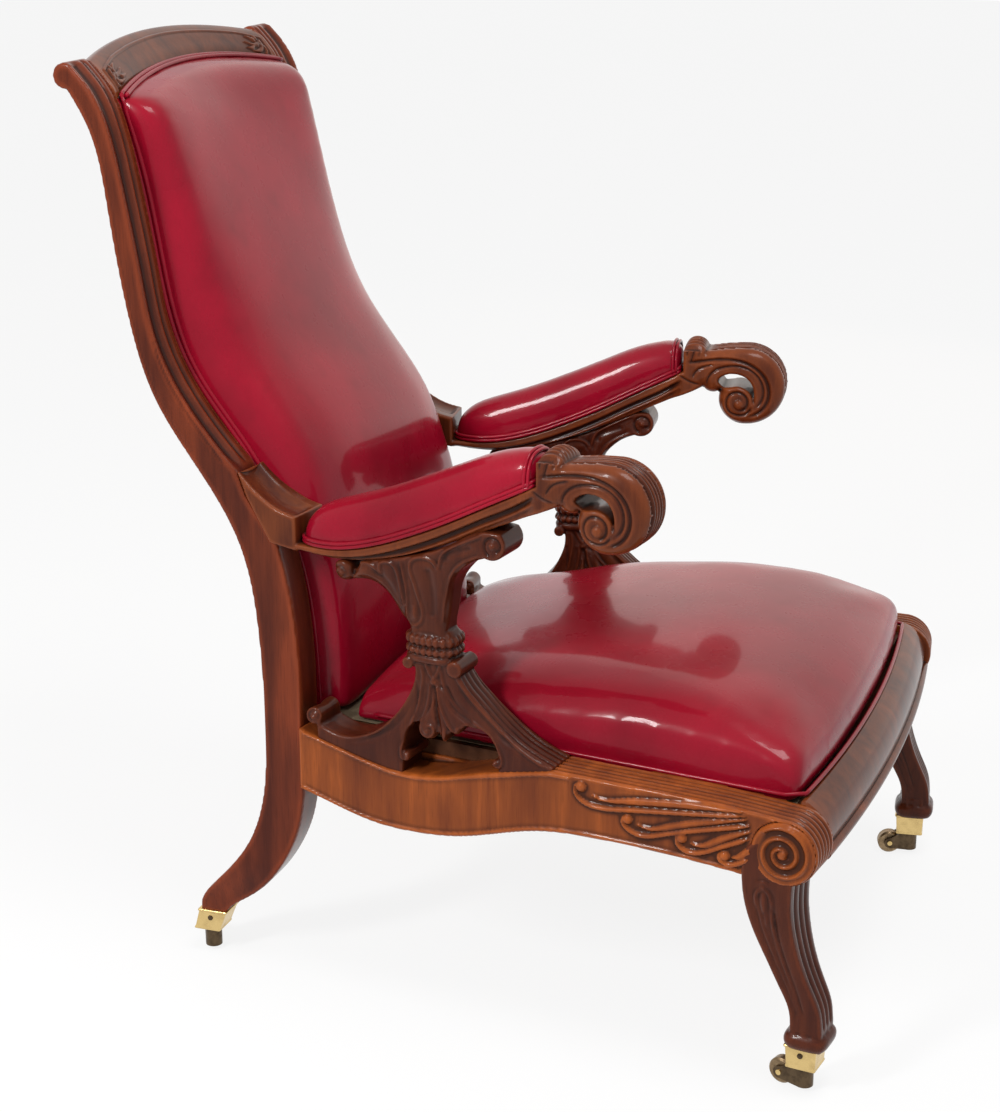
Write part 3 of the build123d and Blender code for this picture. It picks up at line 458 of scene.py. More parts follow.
class Finish(Nodes):
    """The nodes of one material."""

    def __init__(self, name):
        self.material = bpy.data.materials.new(name)
        self.material.use_nodes = True
        super().__init__(self.material.node_tree)
        self.shader = self.tree.nodes["Principled BSDF"]

    def place(self, scale=(1, 1, 1), turn=(0, 0, 0)):
        """The point on the object, turned and stretched for a pattern."""
        spot = self.node("ShaderNodeTexCoord", output="Object")
        return self.node("ShaderNodeMapping", {}, {"Vector": spot, "Rotation": turn, "Scale": scale})

    def noise(self, vector, scale, detail=2.0, roughness=0.5, distortion=0.0):
        sizes = {"Vector": vector, "Scale": scale, "Detail": detail, "Roughness": roughness, "Distortion": distortion}
        return self.node("ShaderNodeTexNoise", {}, sizes)

    def mix(self, share, first, second):
        """Two colours mixed by a share. The colour sockets of this node are the seventh and the eighth."""
        return self.node("ShaderNodeMix", {"data_type": "RGBA"}, {0: share, 6: first, 7: second}, 2)

    def attribute(self, name):
        return self.node("ShaderNodeAttribute", {"attribute_name": name}, output="Fac")

    def bump(self, height, distance, strength, below=None):
        values = {"Height": height, "Distance": distance, "Strength": strength}
        if below:
            values["Normal"] = below
        return self.node("ShaderNodeBump", {}, values)

    def set(self, **values):
        for key, value in values.items():
            self.feed(self.shader.inputs[key.replace("_", " ")], value)
        return self.material


def rgb(red, green, blue):
    return (red, green, blue, 1.0)


# %% [markdown]
# ## Mahogany
# Old Cuban mahogany is red-brown with a close straight figure, small dark pores, and a slow ripple that shows
# under the polish. The hollows are painted darker, as painted shade together with old wax, and the raised edges
# paler, partly as a painted highlight and partly as wear. The relief that carves a piece also leaves an attribute of
# ridge height, from 0 in the hollows to 1 on the ridges, and the colour follows it.

# %% Mahogany finish
def mahogany(name, turn=(0, 0, 0), figure=1.0, dark=(0.050, 0.0100, 0.0035), pale=(0.300, 0.078, 0.020),
             carved=True):
    """turn lays the grain along the piece; figure is how strongly the broad figure shows."""
    wood = Finish(name)
    along = wood.place((1.0, 1.0, 0.09), turn)
    broad = wood.noise(along, 26.0, 3.0, 0.55, 0.9)
    streak = wood.noise(along, 140.0, 3.0, 0.6, 0.2)
    pore = wood.noise(wood.place((1.0, 1.0, 0.03), turn), 1100.0, 1.0)
    ripple = wood.noise(wood.place((1, 1, 1), turn), 9.0, 2.0)
    tone = (broad * 0.62 * figure + streak * 0.30 + ripple * 0.35 - 0.14 - 0.16 * figure).clamp()
    middle = [0.45 * d + 0.55 * p * 0.75 for d, p in zip(dark, pale)]
    colour = wood.node("ShaderNodeValToRGB", {"stops": [
        (0.20, rgb(*dark)), (0.44, rgb(*middle)), (0.70, rgb(*pale)), (0.95, rgb(*[p * 1.3 for p in pale])),
    ]}, {"Fac": tone})
    specks = pore.band(0.60, 0.72) * 0.4
    colour = wood.mix(specks, colour, rgb(*[d * 0.6 for d in dark]))
    if carved:
        worn = wood.attribute("worn")
        # painted shade in the hollows, with some old wax: they are mixed towards near black
        hollow_shade_and_wax = (1 - worn.band(0.10, 0.44)) * 0.80
        colour = wood.mix(hollow_shade_and_wax, colour, rgb(0.014, 0.0035, 0.0018))
        # painted highlight on the ridges, with some wear: they are mixed paler
        colour = wood.mix(worn.band(0.62, 1.00) * 0.22, colour, rgb(*[min(1, p * 1.6) for p in pale]))
        rough = 0.27 + (1 - worn.band(0.1, 0.5)) * 0.22 + streak * 0.08
    else:
        rough = 0.27 + streak * 0.10
    fine = wood.bump(pore, 0.00010, 0.25)
    slow = wood.bump(ripple + streak * 0.12, 0.0005, 0.30, fine)
    return wood.set(
        Base_Color=colour, Roughness=rough, Normal=slow, IOR=1.5, Specular_IOR_Level=0.10,
        Coat_Weight=0.40, Coat_Roughness=0.05, Coat_IOR=1.25,
    )


# %% [markdown]
# ## Leather, brass and the rest
# The hide is dyed crimson and polished. Its grain is a fine net of pebbles, and there are long faint creases where it
# is pulled over the stuffing. Faces that look upwards are mixed towards a browner red: a painted sheen, partly also
# dye rubbed thin. Brass is cast and rubbed bright on its corners. The hidden timber is beech and the webbing is
# plain flax, both in dark tones.

# %% Leather and metal finishes
def leather(name, deep=(0.160, 0.0014, 0.0095), bright=(0.300, 0.0028, 0.0180), sheen_and_rub_colour=(0.205, 0.013, 0.014)):
    hide = Finish(name)
    spot = hide.place()
    pebble = hide.node(
        "ShaderNodeTexVoronoi", {"feature": "DISTANCE_TO_EDGE"}, {"Vector": spot, "Scale": 620.0}
    )
    skin = hide.noise(spot, 900.0, 3.0, 0.6)
    cloud = hide.noise(spot, 5.5, 3.0, 0.55)
    blotch = hide.noise(spot, 26.0, 3.0, 0.6)
    pull = hide.noise(hide.place((1.0, 0.45, 0.7), (0.3, 0.2, 0.5)), 20.0, 1.0, 0.4)
    colour = hide.mix(cloud.band(0.30, 0.70), rgb(*deep), rgb(*bright))
    up = hide.node("ShaderNodeSeparateXYZ", {}, {"Vector": hide.node("ShaderNodeNewGeometry", output="Normal")}, 2)
    # painted sheen on faces that look upwards, partly also dye rubbed thin: they are mixed towards a browner red
    sheen_and_rub = up.band(0.30, 0.98) * (0.25 + 0.50 * blotch)
    colour = hide.mix(sheen_and_rub * 0.60, colour, rgb(*sheen_and_rub_colour))
    colour = hide.mix(blotch.band(0.56, 0.74) * 0.16, colour, rgb(*[v * 0.55 for v in deep]))
    grain = hide.bump(pebble.band(0.0, 0.32) + skin * 0.35, 0.00004, 0.07)
    folds = hide.bump(pull, 0.0008, 0.20, grain)
    rough = 0.22 + blotch * 0.12
    return hide.set(
        Base_Color=colour, Roughness=rough, Normal=folds, IOR=1.5, Specular_IOR_Level=0.07,
        Coat_Weight=0.52, Coat_Roughness=0.07, Coat_IOR=1.30,
    )


def brass(name, pale=(0.78, 0.56, 0.25), dark=(0.28, 0.17, 0.07), rough=0.28, tarnish=0.5):
    metal = Finish(name)
    spot = metal.place()
    cloud = metal.noise(spot, 90.0, 4.0, 0.6)
    scratch = metal.noise(metal.place((1, 1, 14), (0.4, 0.3, 0.2)), 300.0, 2.0)
    stain = cloud.band(0.42, 0.70) * tarnish
    colour = metal.mix(stain, rgb(*pale), rgb(*dark))
    height = metal.bump(scratch + cloud * 0.6, 0.00010, 0.15)
    return metal.set(Base_Color=colour, Metallic=1.0, Roughness=rough + stain * 0.3, Normal=height)


def plain(name, pale, dark, scale, rough, stretch=(1, 1, 1)):
    """A dull finish of two tones: bare timber or woven flax."""
    stuff = Finish(name)
    pattern = stuff.noise(stuff.place(stretch), scale, 4.0, 0.6, 0.4)
    colour = stuff.mix(pattern.band(0.3, 0.7), rgb(*dark), rgb(*pale))
    height = stuff.bump(pattern, 0.0003, 0.4)
    return stuff.set(Base_Color=colour, Roughness=rough, Normal=height, Specular_IOR_Level=0.15)


QUARTER = math.pi / 2
wood_up = mahogany("mahogany_upright", dark=(0.060, 0.0100, 0.0040), pale=(0.240, 0.043, 0.0130))
wood_carved = mahogany("mahogany_carved", figure=0.7, dark=(0.045, 0.0085, 0.0038), pale=(0.165, 0.036, 0.0115))
wood_arm = mahogany("mahogany_arm", (QUARTER, 0, 0), 0.8, (0.055, 0.0105, 0.0040), (0.245, 0.058, 0.0150))
wood_long = mahogany("mahogany_along", (QUARTER, 0, 0), 1.25, (0.120, 0.0250, 0.0066), (0.400, 0.096, 0.0170))
wood_cross = mahogany("mahogany_across", (0, QUARTER, 0), 1.3, pale=(0.250, 0.062, 0.018), carved=False)
wood_panel = mahogany("mahogany_panel", (0, QUARTER, 0), 1.3, pale=(0.215, 0.050, 0.014))
hide = leather("crimson_leather")
cast_brass = brass("cast_brass", (0.70, 0.51, 0.22), (0.40, 0.27, 0.11), 0.20, 0.40)
dark_brass = brass("dark_brass", (0.30, 0.21, 0.12), (0.08, 0.052, 0.03), 0.34, 0.8)
bronzed = brass("bronzed_brass", (0.12, 0.082, 0.048), (0.04, 0.027, 0.018), 0.36, 0.8)
# dark tones for the hidden beech and for the flax webbing
beech = plain("old_beech", (0.115, 0.042, 0.018), (0.060, 0.022, 0.010), 60.0, 0.55, (0.1, 1, 1))
flax = plain("flax", (0.20, 0.15, 0.095), (0.12, 0.09, 0.055), 700.0, 0.9)

# %% Finishes for the pieces of the frame that stay as they are
kept = {"beech": beech, "flax": flax, "brass": cast_brass, "screw_brass": bronzed, "wheel_brass": dark_brass}
slots = {part["node"]: part["material_slot"] for part in frame["record"]["subparts"]}
for node, piece in frame["nodes"].items():
    finish = bronzed if "horn" in node else kept.get(slots[node])
    if finish is None:
        finish = hide if slots[node] == "crimson_leather" else wood_cross
    piece.data.materials.clear()
    piece.data.materials.append(finish)

# %% [markdown]
# ## Camera, light and floor
# The camera stands where the photograph was taken from. The light is a wide soft box overhead and in front, a
# second one at the side, and an even pale surround.

# %% Camera
CAMERA_PLACE = (-2.3995, -0.8264, 1.2511)
CAMERA_YAW = 70.536
CAMERA_PITCH = -17.794
camera = bpy.data.objects.new("camera", bpy.data.cameras.new("camera"))
scene.collection.objects.link(camera)
camera.location = CAMERA_PLACE
camera.rotation_euler = (math.radians(90 + CAMERA_PITCH), 0, math.radians(-CAMERA_YAW))
camera.data.sensor_fit = "VERTICAL"
camera.data.sensor_height = 36.0
camera.data.lens = 75.58
scene.camera = camera
scene.view_settings.view_transform = "Standard"


# %% Lamps, surround and floor
def lamp(name, place, aim, size, power, tint=(1, 1, 1)):
    data = bpy.data.lights.new(name, "AREA")
    data.shape = "RECTANGLE"
    data.size, data.size_y = size
    data.energy = power
    data.color = tint
    piece = bpy.data.objects.new(name, data)
    piece.location = place
    piece.rotation_euler = (Vector(aim) - Vector(place)).to_track_quat("-Z", "Y").to_euler()
    scene.collection.objects.link(piece)


lamp("overhead", (-0.6, -0.9, 3.0), (0, 0, 0.4), (1.3, 0.9), 46)
lamp("window", (-2.2, 1.05, 1.9), (0, 0, 0.5), (0.36, 0.75), 50)
lamp("room", (2.7, -0.6, 1.5), (0, 0, 0.5), (3.6, 2.6), 9, (1.0, 0.74, 0.54))

world = bpy.data.worlds.new("surround")
world.use_nodes = True
scene.world = world
surround = Nodes(world.node_tree)
background = world.node_tree.nodes["Background"]
background.inputs["Color"].default_value = (1, 1, 1, 1)
surround.feed(background.inputs["Strength"], surround.node(
    "ShaderNodeMapRange", {}, {"Value": surround.seen_as_white(), "To Min": 0.40, "To Max": 1.0}
))

FLOOR_HALF = 14.0
FLOOR_GLOW = 0.86
ground = Finish("pale_floor")
ground.set(Base_Color=rgb(0.86, 0.86, 0.86), Roughness=0.75)
surface = ground.node("ShaderNodeMixShader", {}, {
    0: ground.seen_as_white() * FLOOR_GLOW, 1: Value(ground, ground.shader.outputs[0]),
    2: ground.node("ShaderNodeEmission"),
})
ground.feed(ground.tree.nodes["Material Output"].inputs["Surface"], surface)
corners = [(x * FLOOR_HALF, y * FLOOR_HALF, 0) for x, y in ((-1, -1), (1, -1), (1, 1), (-1, 1))]
floor = bpy.data.objects.new("floor", new_mesh("floor", corners, [(0, 1, 2, 3)]))
floor.data.materials.append(ground.material)
scene.collection.objects.link(floor)
floor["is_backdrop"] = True

# %% [markdown]
# ## Stuffed leather
# Each cushion starts as a plain closed form, a little smaller than the finished one. It is covered with even
# small faces and blown up as cloth with a pressure inside it, which rounds its edges and pulls its sides in as
# real stuffing does. The swelling is evened out, because the hide is tight. The hidden faces stay pinned where
# they meet the frame, and a cap limits how far any point may move. A corded seam is laid along the edges
# afterwards.

# %% Padding by cloth simulation
FRAMES = 20
CLOTH = {
    "quality": 4, "mass": 0.4, "tension_stiffness": 22, "compression_stiffness": 22, "shear_stiffness": 8,
    "bending_stiffness": 4.0, "use_pressure": True, "uniform_pressure_force": 4.0, "vertex_group_mass": "pinned",
}


def stuff(name, shape, voxel, pinned, cap, keep, node):
    """Remesh, inflate for 20 frames, limit each point's travel to cap, even it, fit with keep and subdivide."""
    mesh = remeshed(closed_mesh(name, *shape), voxel)
    piece = bpy.data.objects.new(name, mesh)
    scene.collection.objects.link(piece)
    start = points_of(mesh)
    group = piece.vertex_groups.new(name="pinned")
    group.add(np.flatnonzero(pinned(start)).tolist(), 1.0, "REPLACE")
    modifier = piece.modifiers.new("cloth", "CLOTH")
    for setting, value in CLOTH.items():
        setattr(modifier.settings, setting, value)
    modifier.settings.effector_weights.gravity = 0
    modifier.collision_settings.use_collision = False
    modifier.point_cache.frame_start = 1
    modifier.point_cache.frame_end = FRAMES
    for frame_number in range(1, FRAMES + 1):
        scene.frame_set(frame_number)
    moved = points_of(baked(piece)) - start
    piece.modifiers.clear()
    length = np.linalg.norm(moved, axis=1, keepdims=True)
    moved *= np.minimum(1, cap / np.maximum(length, 1e-9))
    start = start + evened(mesh, moved, 24)
    scene.frame_set(1)
    mesh.vertices.foreach_set("co", keep(evened(mesh, start, 3)).ravel())
    finer = piece.modifiers.new("finer", "SUBSURF")
    finer.levels = finer.render_levels = 1
    result = baked(piece)
    bpy.data.objects.remove(piece)
    result.vertices.foreach_set("co", keep(points_of(result)).ravel())
    piece = placed(name, result, hide)
    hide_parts(node)
    print(name, len(result.polygons), "faces")
    return piece


def swept(path, radius, closed):
    """A tube: a circle of the given radius carried along a path, at right angles to it."""
    sides = 10
    if closed:
        ahead = np.roll(path, -1, axis=0) - np.roll(path, 1, axis=0)
    else:
        ahead = np.gradient(path, axis=0)
    ahead /= np.linalg.norm(ahead, axis=1, keepdims=True)
    side = np.cross(ahead, (0.31, 0.17, 0.93))
    side /= np.linalg.norm(side, axis=1, keepdims=True)
    up = np.cross(side, ahead)
    t = full_turn(sides)[None, :, None]
    rings = path[:, None] + radius * (np.cos(t) * side[:, None] + np.sin(t) * up[:, None])
    if closed:
        return rings, grid_faces(len(path), sides, True, True).tolist()
    return lofted(rings)


def cord(name, path, radius, closed=False):
    """A cord covered in hide. It prints its length, measured along the path."""
    piece = placed(name, closed_mesh(name, *swept(path, radius, closed)), hide)
    print(name, "length", round(float(np.linalg.norm(np.diff(path, axis=0), axis=1).sum()), 3))
    return piece


# %% [markdown]
# ## The back cushion
# A boxed pad that fills the space between the uprights. It follows their S, is proud of them by about 40 mm, and
# its arched top runs up under the crest rail, which is bowed backwards.

# %% Back cushion
INNER = 0.199
CREST_BOW, CREST_ARCH = 0.027, 0.018
BACK_PIPING = mm([(307.5, 963.5), (286, 890), (267, 790), (238, 685), (170, 588), (137, 530), (111, 460), (99, 380),
                  (95, 301)])
BACK_REAR = mm([(312.5, 961.5), (300, 890), (281, 790), (252, 685), (184, 588), (151, 530), (123, 460), (112, 380),
                (109, 301)])
BACK_FRONT = mm([(293, 960), (275, 956), (261.5, 944), (255, 924), (246, 880), (224, 790), (185, 690), (116, 590),
                 (93, 530), (73, 460), (61, 380), (57, 301)])


def with_crest(line, across):
    """Moves stations back and up with the crest's bow: fully at the top, fading to nothing by z = 0.68."""
    bow = 1 - across ** 2
    share = ease(line[:, 1], 0.68, 0.955)[:, None]
    return line + share * bow * np.array([CREST_BOW, CREST_ARCH])


def back_ring(across):
    """The section of the back at a share of its half width: front, bottom, rear and top edge."""
    front, rear, piping = smooth(BACK_FRONT, 90), smooth(BACK_REAR, 90), smooth(BACK_PIPING, 90)
    edge = np.clip((abs(across) - 0.87) / 0.13, 0, 1)
    depth = 1 - 0.36 * edge ** 2.2
    crown = (1 - across ** 2) ** 0.8
    full = 0.013 * crown * ease(front[:, 1], 0.34, 0.52) * (1 - 0.45 * ease(front[:, 1], 0.85, 0.95))
    line = piping + depth * (front - piping)
    line[:, 0] -= full
    line, rear, piping = (with_crest(one, across) for one in (line, rear, piping))
    bottom = np.linspace(line[-1], rear[-1], 8)[1:-1]
    top = np.concatenate([np.linspace(rear[0], piping[0], 3)[1:], np.linspace(piping[0], line[0], 9)[1:-1]])
    loop = np.concatenate([line, bottom, rear[::-1], top])
    x = np.full(len(loop), across * (INNER - 0.0035))
    return np.stack([x, loop[:, 0] + SHIFT, loop[:, 1]], -1)


def back_keep(v):
    v[:, 0] = np.clip(v[:, 0] * 1.008, -INNER + 0.0004, INNER - 0.0004)
    v[:, 2] = np.maximum(v[:, 2], 0.300)
    return v


across = np.concatenate([np.linspace(-1, -0.86, 9), np.linspace(-0.8, 0.8, 25), np.linspace(0.86, 1, 9)])
rear_line = smooth(BACK_REAR, 90)


def back_pinned(v):
    rear_y = np.interp(v[:, 2], rear_line[::-1, 1], rear_line[::-1, 0]) + SHIFT
    return (v[:, 1] > rear_y - 0.012) | (v[:, 2] < 0.315)


stuff("back_leather", lofted([back_ring(a) for a in across]), 0.0060, back_pinned, 0.007, back_keep, "back_cushion")

# %% [markdown]
# ## The seat cushion
# The seat is deep and crowned. Its sides follow the splayed rails, its front is bowed like the front rail, and
# the hide is pulled down over the edges, so that they are soft and not piped.

# %% Seat cushion
SEAT_BASE = 0.2995
FRONT_BOW = 0.017
APEX_INSIDE = 0.0494
APEX = DATUM + SHIFT + (BACK_HALF - APEX_INSIDE / math.cos(SPLAY)) / math.tan(SPLAY)
SEAT_TOP = mm([(-484, 330), (-479, 347), (-462, 358), (-400, 376), (-330, 386), (-280, 389), (-200, 386),
               (-110, 375), (-30, 360), (30, 346), (49, 333)])
SEAT_FRONT = mm([(-473.5, 299.5), (-481, 312), (-484, 330)])
SEAT_EDGE = mm([(-470, 8), (-400, 13), (-280, 17), (-100, 19), (50, 20)])


def seat_ring(share):
    """The section of the seat in an upright plane through the point where its two sides would meet."""
    turn = share * SPLAY
    edge = np.clip((abs(share) - 0.86) / 0.14, 0, 1)
    top, front = smooth(SEAT_TOP, 80), smooth(SEAT_FRONT, 12)[:-1]
    line = np.concatenate([front, top])
    drop = np.interp(line[:, 0], *SEAT_EDGE.T)
    weight = ease(line[:, 1], 0.315, 0.350)
    line[:, 1] -= weight * drop * (0.40 * share ** 2 + 1.35 * edge ** 2.8)
    bow = FRONT_BOW * share ** 2 * ease(-line[:, 0], 0.15, 0.47)
    pull = 0.010 * edge ** 3 * ease(line[:, 1], 0.300, 0.340)
    y = line[:, 0] + bow + pull * (line[:, 0] < -0.3) - pull * (line[:, 0] > 0.0) * 0.5
    low = np.linspace((y[-1], SEAT_BASE), (y[0], SEAT_BASE), 40)
    rear = np.linspace((y[-1], line[-1, 1]), (y[-1], SEAT_BASE), 8)[1:-1]
    loop = np.concatenate([np.stack([y, line[:, 1]], -1), rear, low[:-1]])
    run = APEX - (loop[:, 0] + SHIFT)
    return np.stack([run * math.tan(turn), loop[:, 0] + SHIFT, loop[:, 1]], -1)


def front_bow(x):
    """How far forwards of its corners the front edge stands at x."""
    return FRONT_BOW * (1 - np.clip(x / 0.27, -1, 1) ** 2)


def seat_keep(v):
    """Keeps the seat off the rails below their tops, and off the back."""
    half = (APEX - v[:, 1]) * math.tan(SPLAY)
    bulge = 0.004 * ease(v[:, 2], 0.312, 0.335)
    v[:, 0] = np.clip(v[:, 0], -half - bulge, half + bulge)
    v[:, 2] = np.maximum(v[:, 2], 0.2988)
    front = -0.4645 - front_bow(v[:, 0]) + SHIFT - 0.010 * ease(v[:, 2], 0.309, 0.325)
    v[:, 1] = np.maximum(v[:, 1], front)
    v[:, 1] = np.minimum(v[:, 1], 0.0565 + SHIFT)
    return v


shares = np.concatenate([np.linspace(-1, -0.86, 8), np.linspace(-0.8, 0.8, 25), np.linspace(0.86, 1, 8)])
stuff(
    "seat_leather", lofted([seat_ring(s) for s in shares]), 0.0055, lambda v: v[:, 2] < 0.304, 0.007, seat_keep,
    "seat_cushion",
)

# %% [markdown]
# ## The arm pads
# Each pad is a roll of stuffing on the arm's platform, with a flat base, a full top and ends that fall away. The
# seam at its base is corded.

# %% Arm pads
PLATFORM = mm([(-188, 609), (-165, 597), (-130, 579), (-90, 558), (-40, 535), (10, 517), (50, 509.5), (92, 509)])
# station, height and half width, all in mm
PAD = mm([(-184.5, 22, 25), (-178, 36, 29), (-160, 46, 31), (-130, 54, 31.8), (-90, 58, 31.8), (-40, 59, 31.8),
          (10, 57, 31.8), (45, 52, 31.2), (66, 44.5, 29), (80, 34, 24.5), (87.5, 23, 18.5), (91, 10, 11)])
ARM_MIDDLE = 0.029
PAD_WIDE, PAD_TALL, PAD_GAP = 0.93, 0.95, 0.0012


def platform(back):
    """Height of the arm's platform at a station."""
    return np.interp(back, *smooth(PLATFORM, 80).T)


def pad_rings():
    """Superellipse sections across the arm, standing on the platform.

    Half width times cos^0.75, height times sin^0.7, over half a turn, on a flat base.
    """
    stations = smooth(PAD, 56)
    base = platform(stations[:, 0]) + PAD_GAP
    t = np.linspace(0, np.pi, 28)
    flat_base = np.linspace(-1, 1, 12)[1:-1]
    wide = np.concatenate([power(np.cos(t), 0.75), flat_base])
    tall = np.concatenate([np.sin(t) ** 0.70, 0 * flat_base])
    inside = ARM_MIDDLE + stations[:, 2:3] * wide * PAD_WIDE
    up = base[:, None] + stations[:, 1:2] * tall * PAD_TALL
    return side_place(np.stack([np.broadcast_to(stations[:, :1], up.shape), up], -1), inside)


def pad_pinned(v):
    return v[:, 2] < platform(v[:, 1] - SHIFT) + 0.006


arm_pad = stuff(
    "arm_pad_leather_right", lofted(pad_rings()), 0.0042, pad_pinned, 0.0035, lambda v: v, "arm_pad_right"
)
mirrored(arm_pad, "arm_pad_leather_left", "arm_pad_left")

# %% [markdown]
# ## Corded seams
# A cord covered in the same hide is sewn where each cover meets the wood: up both sides of the back and under the
# crest, round the front of the seat, and twice round the base of each pad. Behind each side cord the hide is
# tucked in against the upright, so that no light shows between them.

# %% Cords
SEAM_X = INNER - 0.0030
back_side = smooth(BACK_PIPING, 110)[::-1] - (0.0035, 0)
back_side = back_side[back_side[:, 1] < 0.9560]
across = np.linspace(-1, 1, 90)[:, None]
bow = 1 - across ** 2
top_cord = np.hstack([across * (INNER - 0.0040), 0.3038 + bow * CREST_BOW + SHIFT, 0.9642 + bow * CREST_ARCH])


def up_the_side(sign, shift):
    """The back's side seam in the chair, from the seat upwards."""
    x = np.full(len(back_side), sign * SEAM_X)
    return np.stack([x, back_side[:, 0] + SHIFT + shift, back_side[:, 1]], -1)


cord("back_cord", np.concatenate([up_the_side(-1, 0), top_cord, up_the_side(1, 0)[::-1]]), 0.0029)
for sign, side in ((-1, "right"), (1, "left")):
    tuck = np.concatenate([up_the_side(sign, 0.0065), [(sign * SEAM_X, 0.3165 + SHIFT, 0.9660)]])
    cord(f"back_tuck_{side}", tuck, 0.0042)
cord("crest_cord", top_cord + (0, -0.0056, -0.0012), 0.0024)

seat_y = np.linspace(0.020, -0.448, 60) + SHIFT
side_x = (APEX - seat_y) * math.tan(SPLAY) - 0.0006
front_x = np.linspace(side_x[-1] - 0.008, -side_x[-1] + 0.008, 70)
front_y = -0.4650 - front_bow(front_x) + SHIFT - 0.0030
seat_path = np.concatenate([
    np.stack([side_x, seat_y, np.full(60, 0.3105)], -1),
    np.stack([front_x, front_y, np.full(70, 0.3112)], -1),
    np.stack([-side_x[::-1], seat_y[::-1], np.full(60, 0.3105)], -1),
])
cord("seat_cord", seat_path, 0.0024)


def pad_seam(lift, out):
    """A closed line round the base of a pad at a height above the platform."""
    stations = smooth(PAD, 70)[1:-1]
    drawing = np.stack([stations[:, 0], platform(stations[:, 0]) + lift], -1)
    half = stations[:, 2] * PAD_WIDE + out
    return np.concatenate([side_place(drawing, ARM_MIDDLE - half), side_place(drawing, ARM_MIDDLE + half)[::-1]])


def pad_arch(station, grow):
    """The line over a pad at one station, from base to base, a little outside its skin."""
    stations = smooth(PAD, 400)
    back, height, half = stations[np.abs(stations[:, 0] - station).argmin()]
    t = np.linspace(0.02, np.pi - 0.02, 50)
    up = platform(station) + PAD_GAP + (height * PAD_TALL + grow) * np.sin(t) ** 0.70
    inside = ARM_MIDDLE + (half * PAD_WIDE + grow) * power(np.cos(t), 0.75)
    return side_place(np.stack([np.full(50, back), up], -1), inside)


for name, line, radius, closed in (
    ("pad_cord_1", pad_seam(0.0026, 0.0008), 0.0021, True), ("pad_cord_2", pad_seam(0.0066, 0.0006), 0.0021, True),
    ("pad_end_cord_1", pad_arch(-0.1795, 0.0016), 0.0019, False),
    ("pad_end_cord_2", pad_arch(-0.1755, 0.0010), 0.0019, False),
):
    mirrored(cord(f"{name}_right", line, radius, closed), f"{name}_left")

# %% [markdown]
# ## Carving a board
# The show wood is sawn from thick boards to an outline, and then carved on both faces. The same is done here: flat
# outlines are filled and given a thickness, joined into one skin of small even faces, and each point is then
# moved by a relief. Strokes are hollows and ribs along curves that were drawn over the side view, in millimetres.

# %% Boards and strokes
# how deep a relief moves the wood below a face, and how deep reeds are cut on the side rails and on the front legs
FACE_BAND = 0.011
REED_DEPTH, LEG_REED_DEPTH = 0.0036, 0.0042


def flat(outlines, low, high):
    """Outlines filled and given a depth from low to high: points and faces, as (back, up, inside)."""
    curve = bpy.data.curves.new("outline", "CURVE")
    curve.dimensions = "2D"
    curve.fill_mode = "BOTH"
    curve.extrude = (high - low) / 2
    for outline in outlines:
        spline = curve.splines.new("POLY")
        spline.points.add(len(outline) - 1)
        co = np.zeros((len(outline), 4))
        co[:, :2] = outline
        spline.points.foreach_set("co", co.ravel())
        spline.use_cyclic_u = True
    scratch = bpy.data.objects.new("outline", curve)
    scene.collection.objects.link(scratch)
    mesh = baked(scratch)
    bpy.data.objects.remove(scratch)
    v = points_of(mesh)
    v[:, 2] += (low + high) / 2
    return v, faces_of(mesh)


def disc(centre, radius, count):
    """A circle of so many points on the drawing."""
    t = full_turn(count)
    return np.stack([centre[0] + radius * np.cos(t), centre[1] + radius * np.sin(t)], -1)


def skin(parts, voxel):
    """Closed shapes that may overlap, made one skin of even faces."""
    points, faces, start = [], [], 0
    for v, f in parts:
        points.append(np.asarray(v, float))
        faces += [[start + i for i in face] for face in f]
        start += len(v)
    return remeshed(new_mesh("skin", np.concatenate(points), faces), voxel)


def board(parts, voxel):
    """One skin with its points, its normals and its rim: 1 where it is a sawn edge and 0 on both faces."""
    mesh = skin(parts, voxel)
    v, n = points_of(mesh), read(mesh, "normal")
    return mesh, v, n, np.clip(1 - np.abs(n[:, 2]) * 1.6, 0, 1)


def push(v, n, amount):
    """Moves points of a sawn edge outwards by an amount."""
    v[:, :2] += n[:, :2] * amount[:, None]


def strokes(points, cuts):
    """Heights of hollows and ribs. Each cut: stations in mm, half width, depth (negative raises), end taper."""
    height = np.zeros(len(points))
    for stations, width, depth, taper in cuts:
        height += groove(points, drawn(stations, 7 * len(stations)), width / 1000, depth / 1000, taper)
    return height


RIDGE_WIDTH, RIDGE_RISE = 0.0016, 0.0031


def ridges(points, lines):
    """Heights of fine raised lines, each in a shallow trough of its own: stations in mm and end taper.

    The ridge is a narrow bell of the distance, and the trough a wider, shallower one.
    """
    height = np.zeros(len(points))
    for stations, taper in lines:
        d, along = to_line(points, drawn(stations, 7 * len(stations)), 6 * RIDGE_WIDTH)
        bells = np.exp(-(d / RIDGE_WIDTH) ** 2) - 0.60 * np.exp(-(d / (2.6 * RIDGE_WIDTH)) ** 2)
        height += RIDGE_RISE * bells * ends(along, taper)
    return height


def leaves(points, outlines):
    """Raised shapes with rounded edges. Each: outline in mm, height and width of the rounding."""
    height = np.zeros(len(points))
    for outline, rise, edge in outlines:
        closed = drawn(outline + outline[:1], 6 * len(outline))[:-1]
        height = np.maximum(height, leaf(points, closed, rise / 1000, edge / 1000))
    return height


